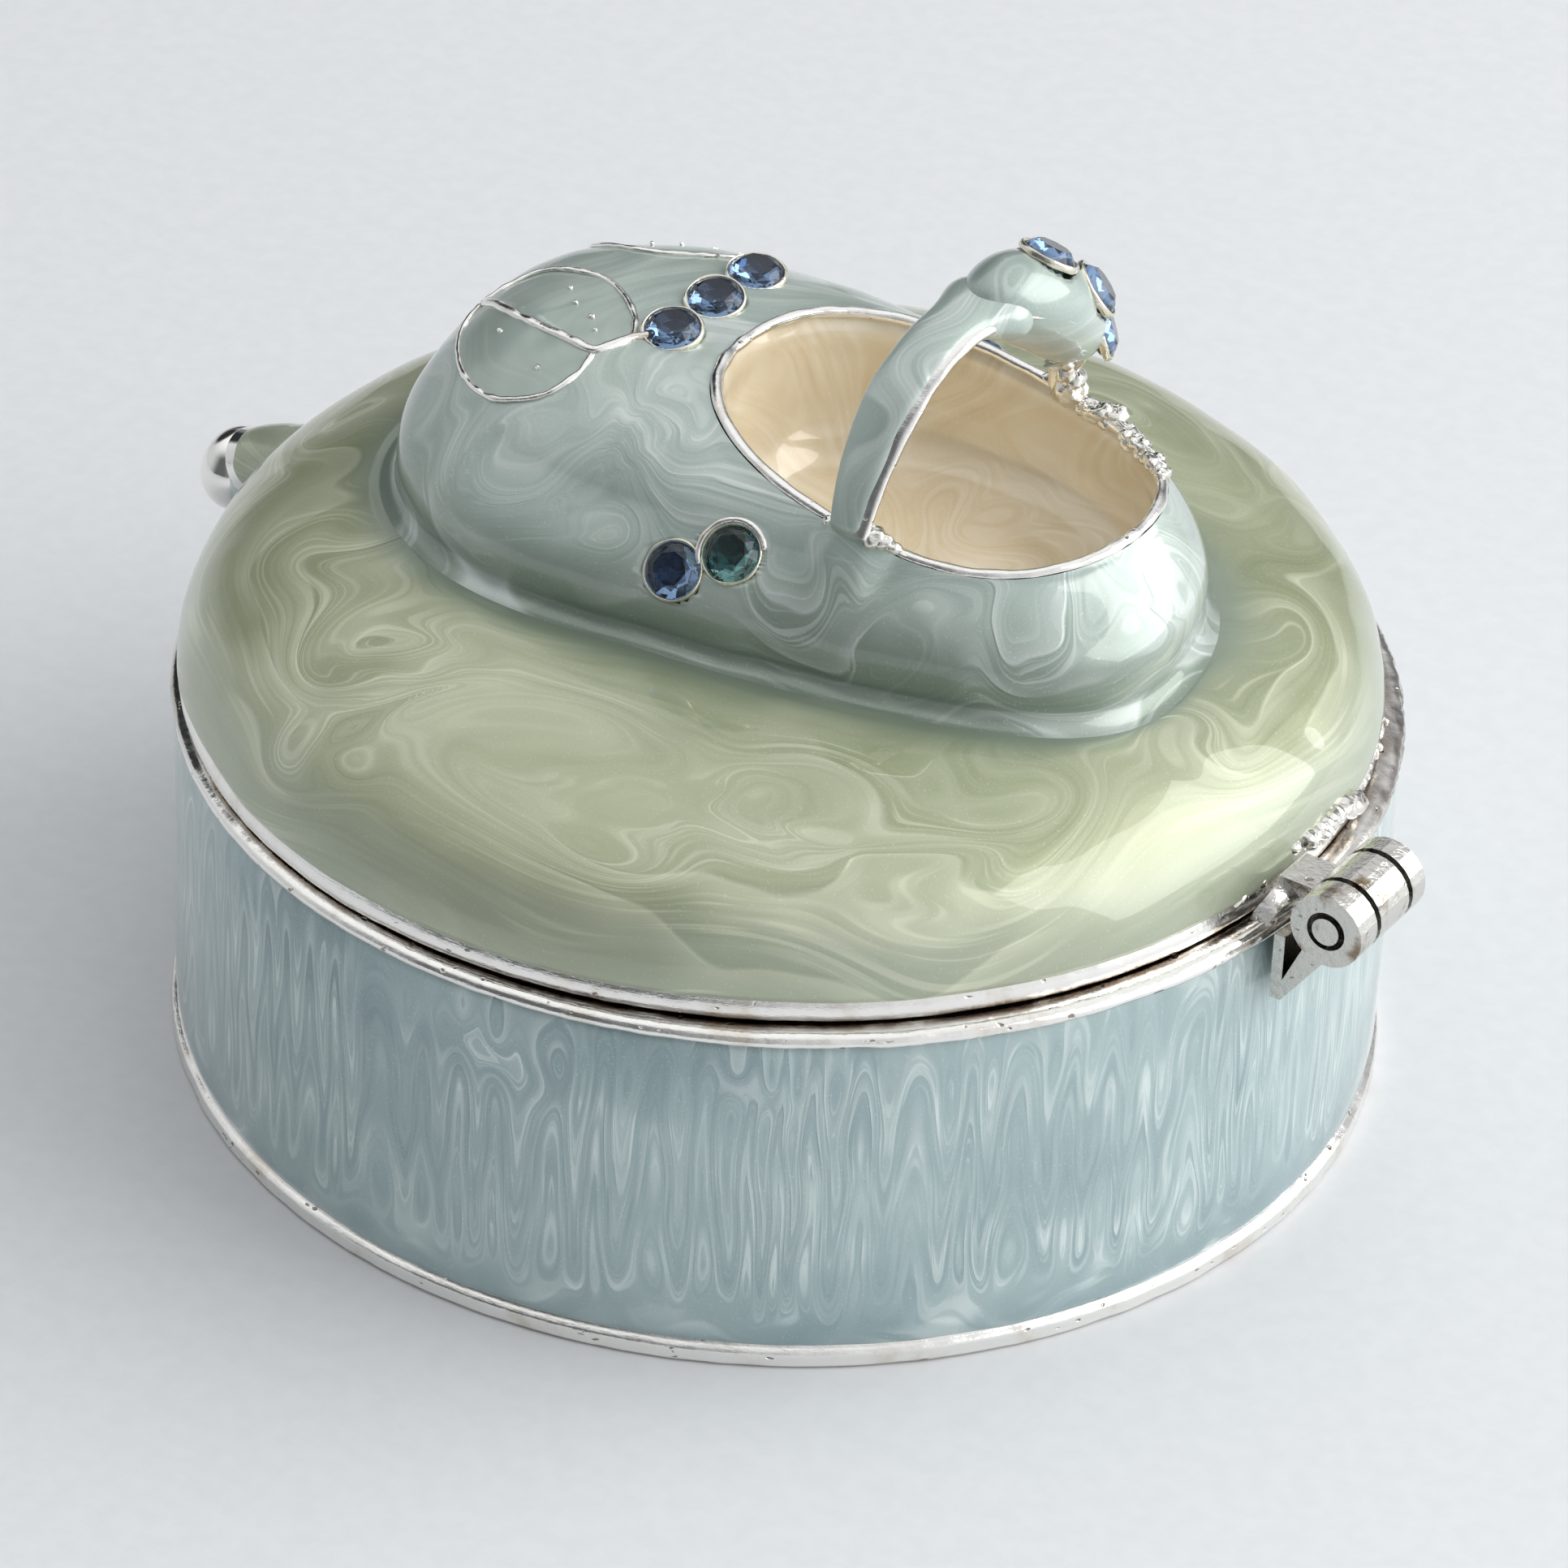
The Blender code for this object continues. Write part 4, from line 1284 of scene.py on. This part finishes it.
def makeLining(s):
    turn = fullTurn(s["columns"])
    edgeU, edgeV = mouthPoint(turn, 0.25)
    top = upperHeight(*mouthPoint(turn))
    rows = [onLid(edgeU, edgeV, top - 0.1)]
    innerU, innerV = mouthPoint(turn, shoeShape["mouthRim"])
    cu, cv = shoeShape["mouthCenter"]
    for depth, size in s["hollow"]:
        height = top + (shoeShape["base"] + shoeShape["insole"] - top) * depth
        rows.append(onLid(cu + (innerU - cu) * size, cv + (innerV - cv) * size, height))
    grid = uneven(softenRows(evenRows(np.array(rows), s["rows"]), 6), 5.0, 61, 0.06)
    eddies = []
    for x, y, size, strength in s["eddies"]:
        eddies.append(((x, y, 24), size * 1.3, size, strength, (0, 0, 1), (1, 0.4, 0)))
    stirred = stir(grid, eddies, s["turns"])
    depth = 0.5 * stirred[..., 0] + waves(stirred, 9.0, 62) * 2.0 + hills(grid, eddies)
    flow = flowOf(stirred[..., 1:], depth)
    newPiece("shoeLining", [(grid, True, {"flow": flow})], "lid", creamEnamel)


makeLining(lining)

rimWire = {"steps": 420, "sides": 18, "radius": 0.25, "inward": 0.27}


def makeMouthRim(s):
    turn = fullTurn(s["steps"])
    u, v = mouthPoint(turn, s["inward"])
    outU, outV = mouthPoint(turn)
    path = onLid(u, v, upperHeight(outU, outV) + 0.02)
    grid = sweep(path, s["radius"], s["radius"] * 0.9, upward, s["sides"], closed=True)
    newPiece("mouthRim", [(uneven(grid, 1.8, 71, 0.04), True, {})], "lid", silver)


makeMouthRim(rimWire)
print("shoe made")

strap = {
    "wide": 1.15,
    "thick": 0.31,
    "steps": 160,
    "crestSteps": 90,
    "sink": 0.6,  # how far the near end runs into the shoe's side
    "crestEddy": ((6.5, -0.5, 36), 2.4, 1.7, 1.8, (0, -1, 1), (1, 0, 0)),
}


def makeStrap(s):
    angle = np.linspace(radians(1), radians(179), s["steps"])
    path, out = archPoint(angle)
    low = smoothstep(-np.degrees(angle), -30, -4)  # the far leg narrows to its foot
    foot = smoothstep(np.degrees(angle), 120, 178)
    path = path + archAcross * (0.2 - 0.65 * low + arch["lean"] * foot)[:, None]
    thick = s["thick"] - 0.10 * foot
    wide = s["wide"] - 0.55 * low - 0.45 * foot
    metal = sweep(path + out * 0.06, wide, thick, out, 28, taper=False, square=0.7)
    metal = uneven(metal, 1.5, 81, 0.03)
    crestAngle = np.linspace(radians(arch["crestFrom"]), radians(arch["crestTo"]), s["crestSteps"])
    crestPath, crestOut = archPoint(crestAngle)
    swell = crestSwell(np.linspace(-1, 1, s["crestSteps"]))
    under = crestPath + crestOut * 0.35
    wide = arch["plateWide"] * swell + 0.02
    plate = sweep(under, wide, 0.35 * swell, crestOut, 40, taper=False, square=0.8)
    grids = [(metal, True, {}), (plate, True, {})]
    newPiece("strapMetal", grids, "lid", silver, ["shoe_strap"])
    angle = np.linspace(radians(60), radians(181), s["steps"])
    path, out = archPoint(angle)
    foot = smoothstep(np.degrees(angle), 120, 178)
    sink = s["sink"] * smoothstep(np.degrees(angle), 168, 181)
    path = path + archAcross * (arch["lean"] * foot)[:, None] - out * sink[:, None]
    neck = np.exp(-(((np.degrees(angle) - 76) / 11) ** 2))  # it widens into the crest
    high, wide = 0.56 - 0.20 * foot + 0.5 * neck, 1.22 - 0.47 * foot + 0.75 * neck
    cover = sweep(path, wide, high, out, 36, taper=False, square=0.85, shift=(0.14, 0.08))
    cover = uneven(cover, 3.0, 82, 0.03)
    depth = cover[..., 0] * 0.9 + waves(cover, 5.0, 84) * 0.9
    flow = flowOf(cover[..., 1:], depth)
    middle = crestPath + crestOut * arch["crestLift"]
    cap = sweep(middle, arch["crestWide"] * swell, arch["crestHigh"] * swell, crestOut, 56, taper=False)
    cap = sinkSeats(uneven(cap, 3.0, 83, 0.04), crestStones)
    stirred = stir(cap, [s["crestEddy"]], 0.25)
    capDepth = stirred[..., 2] * 0.5 + waves(stirred, 5.0, 85) * 0.8 + hills(cap, [s["crestEddy"]])
    grids = [(cover, True, {"flow": flow}), (cap, True, {"flow": flowOf(stirred, capDepth)})]
    newPiece("strapEnamel", grids, "lid", aquaEnamel)


makeStrap(strap)


# Lumps of solder: each is a ball pushed out of shape.
def lump(center, sizes, seed, rough, rows=18, columns=26):
    lat = np.linspace(0.02, pi - 0.02, rows)[:, None]
    lon = fullTurn(columns)[None, :]
    ball = np.stack([np.sin(lat) * np.cos(lon), np.sin(lat) * np.sin(lon), np.cos(lat) + 0 * lon], -1)
    grid = ball * np.asarray(sizes) + np.asarray(center)
    size = float(np.mean(sizes))
    swell = (waves(grid, size * 1.5, seed) + waves(grid, size * 0.6, seed + 1) * 0.3) * rough * size
    return grid + ball * swell[..., None], True, {}


beads = {
    # Up the far leg: (place on the arch in degrees, size)
    "column": [(3, 0.7), (8, 0.6), (12, 0.42), (19, 0.36), (24, 0.46), (28, 0.66), (33, 0.55), (38, 0.5)],
    "drips": (26, 64, 8),  # under the crest: from, to, count
    "run": (0.20 * pi, 0.46 * pi, 20),  # along the mouth's far rim: from, to, count
    "thickest": 0.45 * pi,
    "nearFoot": [  # (size, then its way from the strap's near foot)
        (0.52, 1.4, 0.3, -0.1),
        (0.40, 1.9, 0.35, -0.2),
        (0.30, 2.4, 0.3, -0.25),
        (0.28, -0.6, 0.35, -0.2),
    ],
}


def makeSolder(s):
    numbers = np.random.default_rng(7)
    grids = []
    for i, (degrees, size) in enumerate(s["column"]):
        point, out = archPoint(radians(degrees))
        spot = point - out * 0.15 + archAcross * 0.1 + numbers.normal(size=3) * 0.16
        grids.append(lump(spot, size * numbers.uniform(0.75, 1.25, 3), 100 + i, rough=0.2))
    for i, degrees in enumerate(np.linspace(*s["drips"])):
        point, out = archPoint(radians(degrees))
        spot = point - out * 0.25 + archAcross * 0.5 + numbers.normal(size=3) * (0.3, 0.1, 0.1)
        grids.append(lump(spot, numbers.uniform(0.28, 0.46, 3), 115 + i, rough=0.2))
    for i, angle in enumerate(np.linspace(*s["run"])):
        angle = angle + numbers.normal() * 0.05
        u, v = mouthPoint(angle, 0.2)
        spot = onLid(u, v, upperHeight(*mouthPoint(angle)) + 0.05)
        close = np.exp(-(((angle - s["thickest"]) / 0.35) ** 2))
        sizes = numbers.uniform(0.20, 0.34) * numbers.uniform(0.9, 1.3, 3) * (1.5, 1.1, 0.8)
        sizes = sizes * (1 + 0.7 * close)
        grids.append(lump(spot + numbers.normal(size=3) * 0.08, sizes, 130 + i, rough=0.3))
    point, _ = archPoint(radians(179))
    for i, (size, *shift) in enumerate(s["nearFoot"]):
        grids.append(lump(point + np.array(shift), np.array([1.2, 1.0, 0.8]) * size, 160 + i, rough=0.15))
    newPiece("solderBeads", grids, "lid", solder)


makeSolder(beads)
print("strap made")


def makePetals(s):
    for side, word in ((1, "Near"), (-1, "Far")):
        grids = []
        for key, line in petalLines.items():
            plan = curveThrough(line, s["steps"])
            v = plan[:, 1] if side > 0 else s["mirror"] - plan[:, 1]
            path, up = upperSpot(plan[:, 0], v, 0.03)
            size = s["vein"] if key == "vein" else s["wire"]
            grid = sweep(path, size, size * 0.8, up, 14)
            grids.append((uneven(grid, 0.9, 90 + len(key), 0.035), True, {}))
        for i, (u, v) in enumerate(s["specks"]):
            spot, _ = upperSpot(u, v if side > 0 else s["mirror"] - v, 0.0)
            grids.append(lump(spot, [s["speck"] - 0.015 * (i % 3)] * 3, 350 + i, 0.28, 12, 16))
        newPiece("petalWire" + word, grids, "lid", silver)


makePetals(petal)


# A wire bent along part of a circle round a stone.
def ringWire(turn, radius, wide, high, height, sides, closed=False):
    circle = np.stack([radius * np.cos(turn), radius * np.sin(turn), height + 0 * turn], -1)
    return sweep(circle, wide, high, upward, sides, closed)


def turned(points, center, axis):
    turn = np.array(Vector(axis).to_track_quat("Z", "Y").to_matrix())
    return points @ turn.T + center


def makeStone(name, center, axis, s, material):
    count = 8
    step = 2 * pi / count
    radius, girdle, crown = s["radius"], s["girdle"], s["crown"]
    halves = np.arange(count) + 0.5

    def ring(radius, places, height):
        return [(radius * cos(place * step), radius * sin(place * step), height) for place in places]

    table = ring(radius * s["table"], range(count), girdle + crown)
    kite = ring(s["kite"][0] * radius, halves, girdle + crown * s["kite"][1])
    rim = ring(radius, np.arange(2 * count) / 2, girdle)
    low = ring(radius, np.arange(2 * count) / 2, 0.0)
    deep = ring(s["deep"][0] * radius, halves, -s["pavilion"] * s["deep"][1])
    points = table + kite + rim + low + deep + [(0.0, 0.0, -s["pavilion"] * s["tip"])]
    t, k, r, lo, d = 0, count, 2 * count, 4 * count, 6 * count
    faces = [tuple(range(count))]
    for i in range(count):
        j, rj = (i + 1) % count, (2 * i + 2) % (2 * count)
        faces.append((t + i, k + i, t + j))
        faces.append((t + j, k + i, r + rj, k + j))
        faces.append((k + i, r + 2 * i, r + 2 * i + 1))
        faces.append((k + i, r + 2 * i + 1, r + rj))
    for i in range(2 * count):
        j = (i + 1) % (2 * count)
        faces.append((r + i, lo + i, lo + j, r + j))
    for i in range(count):
        j, rj = (i + 1) % count, (2 * i + 2) % (2 * count)
        faces.append((lo + 2 * i, d + i, lo + 2 * i + 1))
        faces.append((lo + 2 * i + 1, d + i, lo + rj))
        faces.append((d + i, d + j, lo + rj))
        faces.append((d + i, 7 * count, d + j))
    points = turned(np.array(points), center + axis * s["lift"], axis) * mm
    mesh = bpy.data.meshes.new(name + "Cut")
    mesh.from_pydata(points.tolist(), [], faces)
    mesh.materials.append(material)
    mesh.validate()
    obj = addObject(name + "Cut", mesh)
    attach(obj, "lid")
    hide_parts(name)


def makeSettings(s):
    foils, rings = [], []
    for number, (name, (center, axis)) in enumerate(stoneSpots.items()):
        numbers = np.random.default_rng(60 + number)
        for row in range(len(s["foil"]) - 1):
            count = 16 if row < 2 else 8
            for i in range(count):
                corners = []
                for ring, swing in ((row, 0.5 * row), (row + 1, 0.5 * row + 0.5)):
                    far, deep = s["foil"][ring]
                    for k in (0, 1):
                        angle = 2 * pi * (i + k + swing) / count
                        corners.append((far * cos(angle), far * sin(angle), deep))
                facet = turned(np.array(corners).reshape(2, 2, 3), center + axis * s["lift"], axis)
                # Painted glints: a facet's foil is painted paler the more it faces the glint side, with a
                # random spread.
                toward = unit(facet.mean(axis=(0, 1)) - center) @ np.array(s["paintedGlintSide"])
                paintedGlint = np.clip(-0.06 + 0.65 * toward + numbers.normal() * 0.46, 0, 1) ** 1.3
                foils.append((facet, False, {"facet": np.full((2, 2), paintedGlint)}))
        gap, wide, high = s["bezel"]
        ring = ringWire(fullTurn(72), s["radius"] + gap, wide, high, 0.02, 12, closed=True)
        ring = turned(ring, center + axis * s["lift"], axis)
        rings.append((uneven(ring, 1.2, 200 + number, 0.035), True, {}))
        isTeal = name == "near_side_stone_2"
        makeStone(name, center, axis, s, tealGlass if isTeal else sapphireGlass)
    # The foils' colours carry the painted glints.
    newPiece("stoneFoils", foils, "lid", foil).data.shade_flat()
    center, axis = stoneSpots["near_side_stone_2"]
    gap, wide, high = s["arcWire"]
    arc = ringWire(np.radians(np.linspace(*s["arc"], 60)), s["radius"] + gap, wide, high, 0.069, 14)
    arc = turned(arc, center, axis)
    newPiece("stoneArc", [(uneven(arc, 1.0, 240, 0.03), True, {})], "lid", silver)
    newPiece("stoneBezels", rings, "lid", bezelSilver)


makeSettings(stone)
print("stones set")

knob = {
    "ball": (1.55, 1.85, 1.85),
    "center": (-28.04, 0.0, 15.8),
    "path": [(-22.9, 17.8), (-24.2, 17.65), (-25.4, 17.5), (-26.4, 17.0), (-27.3, 16.4), (-28.04, 15.9)],
    "wide": (2.6, 2.1, 1.7, 1.6, 1.6, 1.5),
    "high": (1.25, 1.2, 1.05, 1.25, 1.5, 1.5),
    "lap": 0.78,  # share of the neck that the enamel runs over
    "steps": 60,
    "sides": 48,
    "ballColumns": 72,
}


def makeKnob(s):
    plan = curveThrough(s["path"], s["steps"])
    path = np.stack([plan[:, 0], 0 * plan[:, 0], plan[:, 1]], -1)
    places = np.linspace(0, len(s["path"]) - 1, s["steps"])
    wide, high = [np.interp(places, range(len(s["path"])), s[key]) for key in ("wide", "high")]
    neck = sweep(path, wide, high, upward, s["sides"], taper=False)
    lat = np.linspace(0.01, pi - 0.01, s["steps"])
    ball = lathe(np.stack([np.sin(lat), np.cos(lat)], -1), s["ballColumns"])
    ball = ball * np.array(s["ball"]) + np.array(s["center"])
    newPiece("knob", [(neck, True, {}), (ball, True, {})], "lid", ballSilver)
    count = int(s["steps"] * s["lap"])
    skin = 0.10 * (1 - np.linspace(0, 1, count) ** 4) - 0.03
    cover = sweep(path[:count], wide[:count] + skin, high[:count] + skin, upward, s["sides"], taper=False)
    cover = uneven(cover, 2.5, 250, 0.03)
    # The knob's enamel takes the dome rim's painted pale reflection tint all over.
    given = {"flow": cover * (0.3, 0.3, 1.0), "edge": np.full(cover.shape[:2], 0.7)}
    newPiece("knobLap", [(cover, True, given)], "lid", sageEnamel)


makeKnob(knob)

# The hinge's solids keep their shape and get softened edges. Solder and a folded tab join them to the lid.
hinge = {
    "leafEdges": (0.09, 3, 40),  # width, segments, and the angle from which an edge is softened
    "tabEdges": (0.06, 2, 30),
    "solder": [
        (23.7, -3.6, 17.1),
        (23.75, -0.9, 17.55),
        (24.2, 0.6, 17.6),
        (24.25, 1.6, 17.6),
        (24.05, 2.9, 17.5),
        (24.1, 4.3, 17.2),
    ],
    "wedge": [
        (24.6, -4.5, 16.75),
        (25.3, -4.4, 16.75),
        (25.75, -2.7, 16.95),
        (24.5, -2.5, 17.0),
        (24.6, -4.3, 17.0),
        (24.9, -2.6, 17.85),
    ],
    "edgeBeads": (16, 12, 1.2, 24.5, 16.75),  # count, first heading, step in degrees, reach, height
}


def softenEdges(obj, width, segments, angle):
    soft = obj.modifiers.new("softEdges", "BEVEL")
    soft.width, soft.segments = width * mm, segments
    soft.limit_method, soft.angle_limit = "ANGLE", radians(angle)


for name in ("hinge_leaf_base", "hinge_leaf_lid", "hinge_pin"):
    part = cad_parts[name]
    part.data.materials.clear()
    part.data.materials.append(hingeSilver)
    softenEdges(part, *hinge["leafEdges"])


def makeHingeSolder(s):
    numbers = np.random.default_rng(8)
    grids = []
    for i, spot in enumerate(curveThrough(s["solder"], 20)):
        sizes = numbers.uniform(0.38, 0.58, 3) * (0.9, 1.3, 0.9)
        grids.append(lump(spot + numbers.normal(size=3) * 0.08, sizes, 300 + 3 * i, rough=0.16))
    count, first, step, reach, height = s["edgeBeads"]
    for i in range(count):  # beads along the lid's edge behind the hinge
        angle = radians(first + step * i)
        spot = np.array((lidShape["center"][0] + reach * cos(angle), reach * sin(angle), height))
        spot = spot + numbers.normal(size=3) * 0.06
        grids.append(lump(spot, numbers.uniform(0.2, 0.36, 3), 400 + 3 * i, rough=0.14))
    newPiece("hingeSolder", grids, "lid", solder)
    a, b, c, d, e, f = [np.array(p) for p in s["wedge"]]
    middle = [(a + d) / 2, (b + c) / 2, (b + c) / 2 + (0, 0, 0.35), (e + f) / 2]
    first, last = [a, b, b, e], [d, c, c + (0, 0, 0.3), f]
    wedge = [[np.mean(first, axis=0)] * 4, first, middle, last, [np.mean(last, axis=0)] * 4]
    piece = newPiece("hingeTab", [(np.array(wedge), True, {})], "lid", hingeSilver)
    softenEdges(piece, *s["tabEdges"])


makeHingeSolder(hinge)
print("hinge finished")
